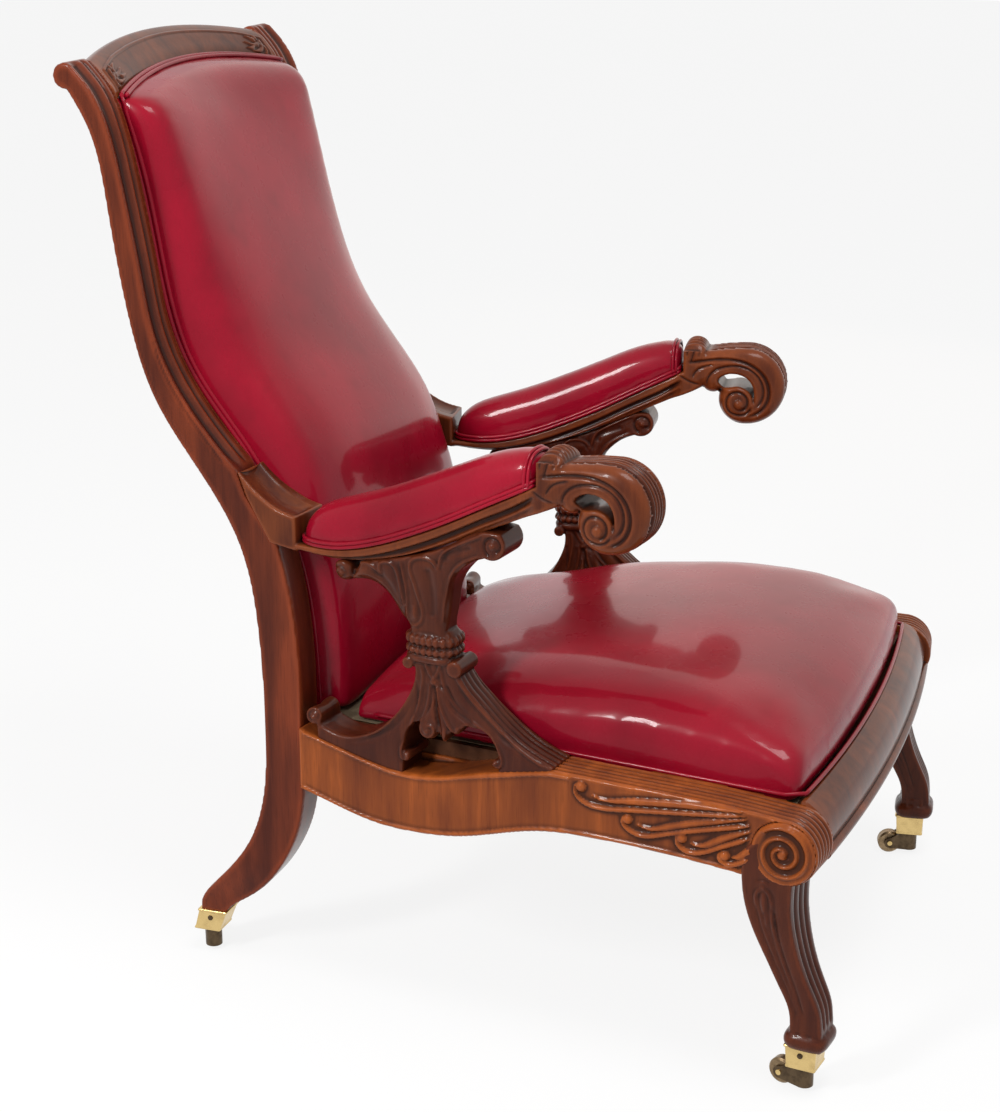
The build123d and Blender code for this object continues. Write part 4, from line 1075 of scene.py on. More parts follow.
def rounded(points, outline, radius):
    """How far a face drops near its outline: a quarter circle of the given radius."""
    d, _ = to_line(points, np.concatenate([outline, outline[:1]]))
    t = 1 - np.clip(d / radius, 0, 1)
    return -radius * (1 - np.sqrt(1 - t ** 2))


def carve_faces(v, low, high, height, band=FACE_BAND):
    """Moves both faces of a board outwards by height. The move fades to nothing at a depth of band."""
    near = np.clip(1 - (v[:, 2] - low) / band, 0, 1)
    far = np.clip(1 - (high - v[:, 2]) / band, 0, 1)
    v[:, 2] += (far - near) * height
    return v


def reeds(share, count):
    """Cross section of count equal reeds: half circles between 0 and -1, deepest between two reeds."""
    t = np.clip(share, 0, 1) * count % 1 * 2 - 1
    return np.sqrt(np.clip(1 - t ** 2 * 0.97, 0, 1)) - 1


def add_ridge_height(mesh):
    """Adds an attribute of ridge height: 0.5 on even wood, towards 1 on ridges and 0 in hollows.

    It is how far a point stands above the mean of its surroundings, measured along its normal, in mm.
    The mahogany finish paints shade into the hollows and highlights onto the ridges from it.
    """
    v = points_of(mesh)
    worn = 0.5 + 0.5 * ((v - evened(mesh, v, 12)) * read(mesh, "normal")).sum(1) / 0.0010
    mesh.attributes.new("worn", "FLOAT", "POINT").data.foreach_set("value", np.clip(worn, 0, 1))


def fitted(name, mesh, finish, node, place=None):
    """Carries a carved drawing into the chair, if it isn't there yet, and gives it its finish."""
    if place:
        v = points_of(mesh)
        set_points(mesh, place(v[:, :2], v[:, 2]))
    add_ridge_height(mesh)
    print(name, len(mesh.polygons), "faces")
    return placed(name, mesh, finish, node)


def both_sides(name, mesh, place, finish, node):
    """The right piece and its mirror image on the left."""
    right = fitted(f"{name}_right", mesh, finish, f"{node}_right", place)
    mirrored(right, f"{name}_left", f"{node}_left")


# %% [markdown]
# ## The arms
# Each arm is scarfed to the upright, carries the pad on a platform with a thin lip, and rolls over in front into a
# scroll. The scroll is pierced by a crescent: an outer band with a hollow cut along it, an inner C, and a curled
# ring with a spiral that ends in a round eye. Reeds follow the roll all the way round its rim.

# %% Arms
ARM_WIDTH = 0.058
EYE = np.array([-0.2555, 0.5725])
SCROLL_CENTRE = np.array([-0.262, 0.593])
LEAF_FOOT = 0.6335
arm_under = drawn([(124, 506), (90, 501), (60, 498), (20, 500), (-32, 513), (-90, 535), (-134, 555), (-185, 579),
                   (-212, 591)], 80)
arm_outline = joined(
    arm_under,
    arc((-212, 591), (-221, 584), (-232, 588), 12),
    arc((-232, 588), (-238, 556), (-262, 546.5), 22),
    arc((-262, 546.5), (-308.5, 593), (-262, 639.5), 70),
    drawn([(-262, 639.5), (-240, 638), (-214, 634)], 16),
    arc((-214, 634), (-201, 647), (-188, 636), 16),
    smooth(PLATFORM, 80),
    drawn([(92, 538.5), (112, 543.5), (132, 554), (149, 567), (163, 581)], 20),
    mm([(152, 553), (118, 506)]),
)[:-1]
# the opening between the inner C and the curled ring
crescent = joined(
    drawn([(-235.5, 591.5), (-230, 600), (-238, 607), (-251, 608.5), (-263, 604), (-270.5, 594), (-272.5, 583),
           (-272, 576)], 40),
    drawn([(-272, 576), (-267.5, 586), (-260, 591.5), (-251, 593.5), (-243, 592), (-235.5, 591.5)], 30),
)[:-1]
SCROLL_CUTS = [
    ([(-190, 620), (-210, 623), (-232, 626), (-256, 624.5), (-276, 615), (-287, 601), (-290, 586), (-285, 570),
      (-275, 561), (-262, 557)], 1.9, 3.4, 0.10),
    ([(-216, 590), (-217, 600), (-224, 611), (-240, 618), (-256, 618.5), (-270, 613), (-280, 602), (-283.5, 588),
      (-280, 575), (-271, 566)], 1.4, 2.6, 0.12),
    ([(-198, 600), (-204, 611), (-214, 617), (-226, 620)], 1.3, 2.2, 0.2),
    ([(-271, 571), (-264, 561.5), (-252, 559.5), (-243, 564), (-240, 574), (-244, 583.5), (-254, 587), (-263, 582),
      (-265, 573), (-261, 566), (-254, 564.5)], 1.5, 2.8, 0.08),
    ([(-236, 580), (-233.5, 570), (-237, 559), (-246, 551.5), (-260, 549.5)], 1.3, 1.6, 0.2),
    ([(-182, 606), (-196, 598), (-210, 594)], 1.3, 1.8, 0.2),
]
LIP_LINE = mm([(-184, 598.5), (-165, 586.5), (-130, 568.5), (-90, 547.5), (-40, 524.5), (10, 507.5), (50, 501.5),
               (88, 503.5)])
LEAF_CUTS = [
    ([(-201, 645), (-201, 636), (-199, 628), (-196, 618)], 1.2, 1.8, 0.15),
    ([(-207, 643), (-208, 635), (-206, 628)], 1.0, 1.5, 0.2),
    ([(-195, 642), (-193, 635), (-192, 627)], 1.0, 1.5, 0.2),
]

mesh, v, n, rim = board([flat([arm_outline, crescent], 0, ARM_WIDTH)], 0.00128)
in_scroll = ease(-v[:, 0], 0.196, 0.222)
height = strokes(v, SCROLL_CUTS + LEAF_CUTS)
height += rounded(v, arm_outline, 0.0150) * in_scroll + rounded(v, arm_outline, 0.0026) * (1 - in_scroll)
height += rounded(v, crescent, 0.0040)
lip = smooth(LIP_LINE, 60)
below = np.interp(v[:, 0], lip[:, 0], lip[:, 1]) - v[:, 1]
on_bar = ease(-v[:, 0], -0.095, -0.085) * (1 - ease(-v[:, 0], 0.172, 0.190))
height -= 0.0068 * ease(below, -0.0012, 0.0016) * on_bar
height += 0.0030 * np.exp(-((below - 0.0085) / 0.0020) ** 2) * on_bar
eye_d = np.linalg.norm(v[:, :2] - EYE, axis=1)
height += 0.0030 * np.sqrt(np.clip(1 - (eye_d / 0.0058) ** 2, 0, 1))
v = carve_faces(v, 0, ARM_WIDTH, height, 0.024)
far = np.linalg.norm(v[:, :2] - SCROLL_CENTRE, axis=1)
on_roll = ease(far, 0.036, 0.041) * ease(-v[:, 0], 0.214, 0.232)
push(v, n, REED_DEPTH * reeds((v[:, 2] - 0.017) / (ARM_WIDTH - 0.034), 4) * rim * on_roll)
# the leaf in front of the pad is a small curled shell, full in the middle and low at the faces
on_leaf = (v[:, 0] > -0.2150) & (v[:, 0] < -0.1870) & (v[:, 1] > LEAF_FOOT)
share = np.abs(v[:, 2] - ARM_WIDTH / 2) / (ARM_WIDTH / 2)
shell = np.sqrt(np.clip(1 - (share / 0.86) ** 2, 0.02, 1)) * (0.93 + 0.07 * np.cos(share * 9 * np.pi))
v[:, 1] = np.where(on_leaf, LEAF_FOOT + (v[:, 1] - LEAF_FOOT) * shell, v[:, 1])
# the shoulder is hollowed between two rims, like the front of the upright above it
on_shoulder = ease(v[:, 0], 0.093, 0.099) * rim * np.clip(n[:, 1] * 2, 0, 1)
hollow = np.sin(np.pi * np.clip((v[:, 2] - 0.004) / 0.040, 0, 1)) ** 0.7
push(v, n, -0.0042 * hollow * on_shoulder)
set_points(mesh, v)
both_sides("arm_carved", mesh, side_place, wood_arm, "arm")

# %% [markdown]
# ## The arm supports
# A support is a column of carving that grows out of the side rail on two feet. The rear foot curls up to a small
# scroll, the front foot runs out along the rail and carries its reeds, and a spearhead hangs between them. A collar
# of round beads ties the middle. Above it the neck opens into leaves that end in scrolls under the arm.

# %% Arm supports
SUPPORT_LOW, SUPPORT_HIGH = 0.002, 0.047
support_outline = joined(
    arc((26.5, 485.5), (51, 485), (36, 473.5), 30),
    drawn([(30, 476), (8, 479), (-5, 474), (-18, 461), (-28, 447), (-37, 437), (-43, 428)], 30),
    drawn([(-44, 404), (-45, 380), (-40, 364), (-32, 348), (-20, 332), (-4, 318), (12, 307), (30, 301), (50, 302),
           (68, 308)], 44),
    arc((68, 314), (86.5, 316), (73, 307.5), 24),
    drawn([(72, 286.5), (52, 280.5), (17, 270.7), (-33, 265)], 12),
    mm([(-33, 285)]),
    arc((-32.5, 286.5), (-41, 290.5), (-33.5, 296), 14),
    drawn([(-33, 302), (-36, 317), (-44, 329), (-53, 333)], 14),
    drawn([(-53, 333), (-53.5, 323), (-61, 316.5), (-70, 318), (-75, 325), (-78.5, 320), (-83, 315.5), (-85.5, 321),
           (-90, 327), (-96, 326), (-103, 333), (-108, 336.5), (-118, 336.5), (-126, 336), (-140, 324),
           (-146, 308)], 70),
    arc((-145.5, 307), (-138.5, 303), (-145, 298.5), 14),
    mm([(-146, 290), (-146, 282)]),
    drawn([(-146, 284.5), (-177, 291.5), (-208, 300)], 6),
    drawn([(-208, 310.5), (-173, 325), (-157, 335), (-138, 350), (-118, 368), (-106, 380), (-96, 394),
           (-86, 404)], 40),
    drawn([(-80, 431), (-82, 442), (-86, 464), (-92, 494), (-102, 508), (-116, 519), (-130, 525)], 30),
    arc((-130, 525), (-151, 532), (-148, 552), 20),
    drawn([(-148, 553), (-134, 554), (-90, 534), (-32, 512), (20, 499), (26.5, 497.5)], 20),
)[:-1]

# Strokes over the side view, as (back, up) in mm
SUPPORT_CUTS = [
    # lower feet, where the faces are hollowed beside their rims
    ([(-47, 372), (-42, 352), (-31, 333), (-16, 317), (0, 307), (22, 298), (46, 295)], 3.2, 1.7, 0.2),
    ([(-93, 386), (-104, 369), (-121, 353), (-143, 336), (-166, 322)], 3.2, 1.7, 0.2),
    # hollows of the leaves of the neck
    ([(10, 490), (-8, 487), (-20, 475), (-30, 458), (-36, 444)], 4.6, 2.6, 0.15),
    ([(-63, 508), (-66, 490), (-68, 470), (-67, 448)], 5.4, 2.6, 0.12),
    ([(-86, 512), (-86, 520), (-98, 528), (-118, 536)], 3.0, 1.8, 0.15),
    # deep lines between the leaves of the pendant
    ([(-67.5, 378), (-70, 362), (-72.5, 345), (-77, 330)], 1.5, 2.8, 0.12),
    ([(-47, 380), (-49, 362), (-48, 348), (-45, 336)], 1.4, 2.0, 0.1),
    ([(-83, 380), (-91, 364), (-103, 351), (-117, 342)], 1.4, 2.0, 0.1),
    # the curled ends
    ([(-137, 528), (-131, 534), (-131, 543), (-138, 548), (-146, 545), (-147, 537), (-141, 534)], 1.5, 3.2, 0.08),
    ([(28, 497), (27, 486), (31, 477), (41, 474), (49, 480), (47, 489), (39, 491), (35, 485)], 1.5, 3.0, 0.08),
    ([(70, 313), (72, 321), (80, 321), (82, 314), (77, 311)], 1.3, 2.4, 0.1),
]
SUPPORT_RIMS = [
    # the rear foot
    ([(-42, 393), (-41, 374), (-35, 355), (-24, 336), (-9, 319), (9, 307.5), (30, 303.5), (50, 305),
      (68, 311)], 0.04),
    ([(-53, 396), (-55, 386), (-54, 370), (-51, 354), (-43, 330), (-36, 310), (-31, 295), (-35, 287), (-40, 290),
      (-37, 294)], 0.05),
    # the front foot
    ([(-76, 396), (-78, 384), (-84, 370), (-94, 358), (-108, 348), (-124, 339), (-140, 327), (-148, 314), (-149, 302),
      (-143, 299), (-140, 303), (-143, 306)], 0.05),
    ([(-90, 400), (-97, 386), (-110, 370), (-130, 353), (-152, 336), (-174, 322), (-200, 309)], 0.05),
    # the pendant
    ([(-64, 378), (-62.5, 358), (-57, 340), (-53, 331), (-54, 323), (-60, 318), (-68, 320), (-71, 327), (-67, 332),
      (-61, 329)], 0.05),
    ([(-72, 378), (-76, 358), (-84, 342), (-92, 331), (-98, 328), (-104, 332), (-103, 338)], 0.05),
    ([(-58, 400), (-62, 391), (-68, 384), (-73, 391), (-76, 400)], 0.06),
    # the neck: rear arm, its leaf, the narrow drop in the middle, the broad leaf and the front arm
    ([(26, 478.5), (8, 479.5), (-6, 473.5), (-18, 460), (-29, 446), (-38, 435)], 0.06),
    ([(27, 495), (11, 500), (0, 497), (-8, 491), (-7, 500), (-15, 505), (-24, 502), (-29.5, 489), (-32, 473),
      (-34, 456)], 0.05),
    ([(-33, 510), (-35, 496), (-37.5, 480), (-38, 464), (-37, 451), (-39, 442), (-45, 438.5), (-52, 442), (-56, 450),
      (-55, 461), (-51, 474), (-46.5, 489), (-43, 502), (-45, 510), (-52, 515), (-62.5, 516), (-72, 512),
      (-75.5, 503)], 0.03),
    ([(-76, 503), (-78.5, 514), (-83, 524), (-95, 533), (-114, 543), (-128, 550)], 0.06),
    ([(-78, 442), (-80.5, 462), (-84, 480), (-90, 498), (-100, 513), (-114, 522), (-127, 528)], 0.06),
]
SUPPORT_LEAVES = [
    ([(-67, 378), (-65, 352), (-58, 340), (-53, 331), (-54, 322), (-61, 317.5), (-69, 320), (-73, 330), (-72, 348),
      (-70, 366)], 2.8, 3.0),
    ([(-72, 376), (-75, 354), (-82, 338), (-90, 330), (-98, 329), (-105, 336), (-112, 340), (-100, 348), (-89, 358),
      (-81, 372)], 2.8, 3.0),
    ([(-73, 352), (-78, 338), (-83, 318), (-86, 330), (-84, 344), (-78, 356)], 2.2, 2.2),
]
DROPS = [(-47, 454, 3.0, 8.5, 2.4), (-68.5, 380, 4.0, 4.0, 2.6), (-38, 290.5, 2.4, 2.4, 1.6),
         (-142, 303, 2.4, 2.4, 1.6), (38.5, 484.5, 3.4, 3.4, 2.6), (77, 315, 2.6, 2.6, 1.8),
         (-139.5, 540, 3.6, 3.6, 2.6), (-83, 326, 2.4, 7.0, 1.2), (-62.5, 324, 2.8, 3.4, 1.2),
         (-98, 333, 2.6, 3.0, 1.2)]


def drops(points, spots):
    """Half ellipsoids that stand on a face: centre, half width, half height (mm) and how far they stand out."""
    height = np.zeros(len(points))
    for y, z, wide, tall, rise in spots:
        d = ((points[:, 0] * 1000 - y) / wide) ** 2 + ((points[:, 1] * 1000 - z) / tall) ** 2
        height = np.maximum(height, rise / 1000 * np.sqrt(np.clip(1 - d, 0, 1)))
    return height


def ball(centre, size):
    """An ellipsoid from its two angles."""
    a = np.linspace(0, np.pi, 14)[1:-1, None]
    b = full_turn(20)[None]
    unit = np.stack([np.sin(a) * np.cos(b), np.sin(a) * np.sin(b), np.cos(a) + 0 * b], -1)
    return lofted(np.asarray(centre) + unit * np.asarray(size))


# Half width of the support by height: it narrows at its waist and under the arm
FULL_HALF = 0.0225
WAIST = mm([(260, 22.5), (310, 22.5), (350, 19), (404, 17.1), (431, 17.1), (480, 19.8), (520, 22.5), (600, 22.5)])
mesh, v, n, rim = board([flat([support_outline], SUPPORT_LOW, SUPPORT_HIGH)], 0.0012)
height = strokes(v, SUPPORT_CUTS) + ridges(v, SUPPORT_RIMS) + leaves(v, SUPPORT_LEAVES) + drops(v, DROPS)
column = ease(v[:, 1], 0.425, 0.445) * (1 - ease(v[:, 1], 0.480, 0.512))
height += rounded(v, support_outline, 0.0030 + 0.0095 * column)
middle = (SUPPORT_LOW + SUPPORT_HIGH) / 2
v = carve_faces(v, SUPPORT_LOW, SUPPORT_HIGH, height, 0.017)
half = np.interp(v[:, 1], *smooth(WAIST, 80).T)
v[:, 2] = middle + (v[:, 2] - middle) * half / FULL_HALF
# reeds run down the front edge of the front foot into the reeds of the rail
on_foot = ease(-v[:, 0], 0.086, 0.096) * ease(0.405 - v[:, 1], 0.0, 0.012) * np.clip(n[:, 1] * 2, 0, 1) * rim
push(v, n, REED_DEPTH * reeds((v[:, 2] - 0.002) / 0.045, 5) * on_foot)
# a hollow along the top edge of the rear foot and up the back of the neck
on_back = ease(v[:, 0], -0.046, -0.040) * np.clip(n[:, 1] + n[:, 0], 0, 1) * rim
push(v, n, -0.0016 * np.exp(-((v[:, 2] - middle) / 0.009) ** 2) * on_back)
set_points(mesh, v)

COLLAR_CENTRE = (-0.0615, middle)


def around(half_back, half_inside, height, count):
    """Places evenly spaced round a superellipse of the third power at one height."""
    t = full_turn(720)
    ring = np.stack([
        COLLAR_CENTRE[0] + half_back * power(np.cos(t), 2 / 3), np.full(720, height),
        COLLAR_CENTRE[1] + half_inside * power(np.sin(t), 2 / 3),
    ], -1)
    run = np.concatenate([[0], np.cumsum(np.linalg.norm(np.diff(ring, axis=0), axis=1))])
    return ring[np.searchsorted(run, np.linspace(0, run[-1], count, endpoint=False))]


# half sizes of the collar's core by height: a neck ring, two hollows for the beads and a block below them
CORE = mm([(398, 25.5, 16.5), (401, 29, 20.5), (405.5, 29.5, 21), (407.5, 27, 18.5), (412.5, 26.2, 18),
           (417.5, 26.8, 18.5), (424, 26.2, 18), (430, 26.8, 18.5), (432.5, 25, 17), (435, 22.5, 15)])
core = lofted(np.stack([around(back, inside, up, 64) for up, back, inside in smooth(CORE, 30)]))
beads = [
    ball(spot, size)
    for height, size in ((0.4240, (0.0043, 0.0058, 0.0043)), (0.4125, (0.0041, 0.0041, 0.0041)))
    for spot in around(0.0268, 0.0190, height, 22)
]


def roll_across(centre, radius):
    """A round roll across the board with slightly domed ends."""
    ring = [np.hstack([disc(centre, radius * share, 28), np.full((28, 1), depth)])
            for share, depth in ((0.72, 0.0040), (1.0, 0.0052), (1.0, 0.0438), (0.72, 0.0450))]
    return lofted(ring)


rolls = [roll_across((-0.0930, 0.3975), 0.0088), roll_across((-0.0385, 0.3965), 0.0064)]
mesh = skin([(points_of(mesh), faces_of(mesh)), core] + beads + rolls, 0.00123)
both_sides("support_carved", mesh, side_place, wood_carved, "arm_support")

# %% [markdown]
# ## The side rails
# A side rail is a serpentine board of plain figured mahogany with a thin bead along both edges. At the front it
# rolls over into a volute, from which long lobes spread backwards over the face. Its top is reeded, and the reeds
# turn over the roll.

# %% Side rails
ROLL = np.array([-0.460, 0.270])
rail_under = drawn([(94.5, 229), (55, 219), (0, 207), (-50, 206), (-100, 212), (-190, 237), (-270, 243),
                    (-350, 242), (-417, 238), (-460, 235)], 90)
rail_top = drawn([(-210, 309), (-177, 302), (-137, 293), (-77, 277), (-30, 273), (17, 280), (55, 289),
                  (94.5, 299)], 60)
rail_outline = joined(
    rail_under,
    arc((-460, 235), (-495, 270), (-460, 305), 50),
    drawn([(-460, 305), (-400, 308.5), (-300, 309), (-210, 309)], 40),
    rail_top,
)
LOBES = [
    [(-236, 301), (-235, 294), (-241, 285.5), (-260, 280), (-290, 283), (-357, 293), (-420, 303)],
    [(-289, 276), (-288.5, 269.5), (-295, 263), (-310, 259), (-333, 265), (-373, 278), (-424, 293)],
    [(-348, 267.5), (-348.5, 260), (-355, 253.5), (-367, 252), (-387, 260), (-424, 279)],
    [(-394, 258), (-394.5, 251.5), (-401, 247.5), (-411, 249), (-425, 258)],
]
KNOBS = mm([(-242, 299), (-294, 274), (-353, 265.5), (-399.5, 256)])
TONGUES = [
    [(-254, 292), (-264, 289.5), (-285, 291.5), (-320, 297), (-360, 302), (-415, 306)],
    [(-305, 270.5), (-315, 268), (-333, 272), (-360, 282), (-420, 299)],
    [(-364, 261.5), (-373, 261), (-388, 268), (-405, 278), (-425, 287)],
    [(-408, 256), (-414, 257), (-421, 263), (-430, 270)],
]
VOLUTE_TURNS, VOLUTE_EDGE, VOLUTE_PROUD = 2.25, 0.0341, 0.005


def volute():
    """The raised edge of the volute: its radius falls evenly from 30 mm to 5 mm while its angle grows."""
    t = np.linspace(0, 1, 200)
    angle = math.radians(48) + t * VOLUTE_TURNS * 2 * np.pi
    radius = 0.0300 * (1 - t) + 0.0050 * t
    return ROLL + radius[:, None] * np.stack([np.cos(angle), np.sin(angle)], -1)


RAIL_WIDTH = 0.060
rail_low = joined([p for p in rail_under if p[0] > -0.4495], mm([(-449.5, 279.5), (94.5, 279.5)]))
mesh, v, n, rim = board([
    flat([rail_outline], 0, REED_BAND), flat([rail_low], REED_BAND - 0.004, RAIL_WIDTH),
    flat([disc(ROLL, 0.0338, 48)], -VOLUTE_PROUD, 0.020),
], 0.0015)
top_bead = drawn([(87, 296), (40, 284), (0, 274.5), (-28, 270), (-50, 270.5), (-80, 275), (-107, 282), (-157, 294),
                  (-207, 304.5), (-228, 305.5)], 70)
low_bead = drawn([(90, 232.5), (55, 222.5), (0, 211), (-50, 210), (-100, 216), (-190, 241), (-270, 247), (-350, 246),
                  (-412, 242)], 70)
height = rounded(v, rail_outline, 0.0022)
height += bead(v, top_bead, 0.0040, 0.0022) + bead(v, low_bead, 0.0040, 0.0022)
carved = np.zeros(len(v))
for lobe, knob, tongue in zip(LOBES, KNOBS, TONGUES):
    carved = np.maximum(carved, bead(v, drawn(lobe, 60), 0.0058, 0.0040, 0.10))
    carved = np.maximum(carved, bead(v, drawn(tongue, 50), 0.0080, 0.0032, 0.30))
    d = np.linalg.norm(v[:, :2] - knob, axis=1)
    carved = np.maximum(carved, 0.0048 * np.sqrt(np.clip(1 - (d / 0.0056) ** 2, 0, 1)))
height += carved * (1 - ease(-v[:, 0], 0.424, 0.434))
from_roll = np.linalg.norm(v[:, :2] - ROLL, axis=1)
in_volute = from_roll < VOLUTE_EDGE
d, _ = to_line(v, volute(), 0.02)
turned = -0.0026 + 0.0042 * np.exp(-(d / 0.0016) ** 2) + 0.0008 * np.exp(-(d / 0.0040) ** 2)
turned += 0.0050 * np.sqrt(np.clip(1 - (from_roll / 0.0052) ** 2, 0, 1))
turned = np.where(from_roll > 0.0310, turned - 0.0030 * ease(from_roll, 0.0310, VOLUTE_EDGE) ** 2, turned)
v[:, 2] -= np.clip(1 - (v[:, 2] + VOLUTE_PROUD) / FACE_BAND, 0, 1) * in_volute * turned
v[:, 2] -= np.clip(1 - v[:, 2] / FACE_BAND, 0, 1) * ~in_volute * height
# reeds across the top and round the roll
over = ease(-v[:, 0], 0.128, 0.150) * rim * (v[:, 2] < REED_BAND + 0.001)
over = over * np.maximum(ease(v[:, 1], 0.281, 0.290), ease(-v[:, 0], 0.466, 0.478))
push(v, n, REED_DEPTH * reeds(v[:, 2] / REED_BAND, 6) * over)
set_points(mesh, v)
both_sides("rail_carved", mesh, side_place, wood_long, "side_rail")

# %% [markdown]
# ## The front legs
# The front legs are S-shaped. They are reeded in front, carry a small pendant drop on their outer faces, and end in
# a turned collar above the brass cup. They widen from 40 mm at the collar to the full width of the rail.

# %% Front legs
LEG_LOW, LEG_HIGH = -0.0025, 0.0600
CUP_TOP = 53  # mm over the floor
leg_rear = drawn([(-417, 255), (-417, 235), (-421, 205), (-431, 175), (-444, 147), (-458, 118), (-468, 95),
                  (-470, 75)], 50)
leg_front = drawn([(-500, 75), (-497, 98), (-488, 120), (-477, 148), (-470, 175), (-466, 205),
                   (-467, 240)], 50) - [0.0038, 0]
leg_outline = joined(
    leg_rear, mm([(-470, CUP_TOP), (-503.5, CUP_TOP)]), leg_front,
    arc((-470.5, 240), (-440, 282.5), (-417, 255), 30),
)[:-1]
LEG_CUTS = [
    ([(-449, 214), (-453, 196), (-456, 178), (-464, 150), (-475, 120), (-484, 92)], 1.6, 2.2, 0.08),
    ([(-434, 214), (-438, 192), (-446, 168), (-459, 138), (-471, 110), (-480, 86)], 1.5, 1.9, 0.08),
]
LEG_RIMS = [
    ([(-440, 229), (-445, 226), (-449, 218), (-450, 204), (-451, 190), (-455, 174), (-463, 148), (-474, 118),
      (-483, 88)], 0.05),
    ([(-440, 229), (-436, 226), (-433, 218), (-436, 204), (-440, 188), (-447, 168), (-460, 138), (-472, 110),
      (-481, 84)], 0.05),
    ([(-446, 233), (-441, 236), (-436, 233)], 0.2),
]
LEG_DROPS = [(-441.5, 213, 3.0, 12, 1.8), (-445, 193, 2.0, 7, 1.2), (-441, 231, 2.6, 2.6, 1.8)]


def leg_width(height):
    """Share of the full width: 40 of 62.5 mm up to the ankle, then widening in an S to the shoulder."""
    return 0.64 + 0.36 * ease(height, 0.080, 0.262)


mesh, v, n, rim = board([flat([leg_outline], LEG_LOW, LEG_HIGH)], 0.0014)
height = strokes(v, LEG_CUTS) + ridges(v, LEG_RIMS) + drops(v, LEG_DROPS) + rounded(v, leg_outline, 0.0030)
v = carve_faces(v, LEG_LOW, LEG_HIGH, height)
facing = np.clip(-n[:, 0] * 1.8 - 0.3, 0, 1) * rim
facing = facing * ease(v[:, 1], 0.074, 0.082) * (1 - ease(v[:, 1], 0.236, 0.246))
share = (v[:, 2] - LEG_LOW) / (LEG_HIGH - LEG_LOW)
push(v, n, LEG_REED_DEPTH * reeds(share, 4) * facing)
middle = (LEG_LOW + LEG_HIGH) / 2 + 0.00125
v[:, 2] = middle + (v[:, 2] - middle) * leg_width(v[:, 1])
set_points(mesh, v)

# height over the floor, half width and half depth of the collar's rings
COLLAR = mm([(53.2, 20.5, 18.8), (54.5, 22.2, 20.6), (57, 24, 22.2), (60.2, 25.1, 23.2), (63.6, 25.4, 23.4),
             (66.8, 24.6, 22.6), (69.5, 22.8, 20.6), (71.8, 21.2, 18.6), (75, 20.6, 17.8), (78, 20, 17)])


def collar_rings(centre):
    """Superelliptic rings (the fourth power) of the collar's profile, smoothed upwards."""
    profile = smooth(COLLAR, 40)
    t = full_turn(72)
    lobes = 1 + 0.026 * np.cos(24 * t) * ease(profile[:, :1], 0.0690, 0.0710)
    back = centre[0] + profile[:, 2:3] * power(np.sin(t), 0.5) * lobes
    inside = centre[1] + profile[:, 1:2] * power(np.cos(t), 0.5) * lobes
    return np.stack([back, np.broadcast_to(profile[:, :1], back.shape), inside], -1)


mesh = skin([(points_of(mesh), faces_of(mesh)), lofted(collar_rings((-0.4855, middle)))], 0.0013)
both_sides("front_leg_carved", mesh, side_place, wood_carved, "front_leg")

# %% [markdown]
# ## The uprights
# Leg, post and rolled-over top of an upright are one sabre-shaped timber. Its sides are plain. Its front edge is
# moulded above the arm with a bead next to the leather and a hollow beside it.

# %% Uprights
UPRIGHT_WIDTH = 0.047
upright_outline = joined(
    drawn([(229.7, CUP_TOP), (228.7, 65.5), (222.2, 77.5), (206, 96), (166, 146), (145, 203), (139, 290),
           (144, 410), (163, 501), (217, 591), (255, 651), (283, 741), (302, 860), (319, 935), (341, 973)], 200),
    arc((341, 973), (356, 984), (335, 998), 24),
    drawn([(335, 998), (313, 973), (296, 935), (283, 879), (266, 785), (252, 716), (224, 657), (180, 600),
           (163, 581)], 100),
    mm([(152, 553)]),
    drawn([(118, 506), (109, 472), (102, 435), (96.5, 385), (94.5, 335)], 40),
    drawn([(94.5, 215), (101, 178), (119, 135), (149, 95), (176.5, 73.5), (194, 60), (199.5, CUP_TOP)], 50),
)
UPRIGHT_CUTS = [
    ([(176, 586), (216, 637), (246, 690), (262, 760), (276, 850), (288, 915), (300, 953),
      (318, 984)], 1.2, 1.6, 0.02),
    ([(210, 590), (248, 648), (276, 735), (295, 855), (312, 935), (333, 976)], 1.0, 0.9, 0.05),
]
mesh, v, n, rim = board([flat([upright_outline], 0, UPRIGHT_WIDTH)], 0.0020)
height = rounded(v, upright_outline, 0.0030) + strokes(v, UPRIGHT_CUTS)
v = carve_faces(v, 0, UPRIGHT_WIDTH, height)
front = np.clip(-n[:, 0] * 2 - 0.2, 0, 1) * rim * ease(v[:, 1], 0.575, 0.600)
w = v[:, 2] / UPRIGHT_WIDTH
moulding = -0.0042 * np.exp(-((w - 0.30) / 0.16) ** 2) - 0.0030 * np.exp(-((w - 0.66) / 0.05) ** 2)
moulding -= 0.0026 * np.exp(-((w - 0.92) / 0.05) ** 2)
push(v, n, moulding * front)
foot = 0.664 + 0.336 * ease(v[:, 1], 0.056, 0.128)
v[:, 2] = UPRIGHT_WIDTH / 2 + (v[:, 2] - UPRIGHT_WIDTH / 2) * foot
set_points(mesh, v)
both_sides("upright_shaped", mesh, back_place, wood_up, "upright")

# %% [markdown]
# ## The crest rail
# The crest is a board bowed backwards and arched, whose top rolls over like the tops of the uprights. Its face is a
# panel inside a thin bead, with a small carved spray in each upper corner.

# %% Crest rail
CREST = mm([(306, 960), (310, 970), (317, 979), (324.5, 987.5), (333, 994), (338.5, 996.2), (344, 995),
            (349, 991.5), (350, 986), (344, 978.5), (336, 970), (330, 961), (326, 950)])


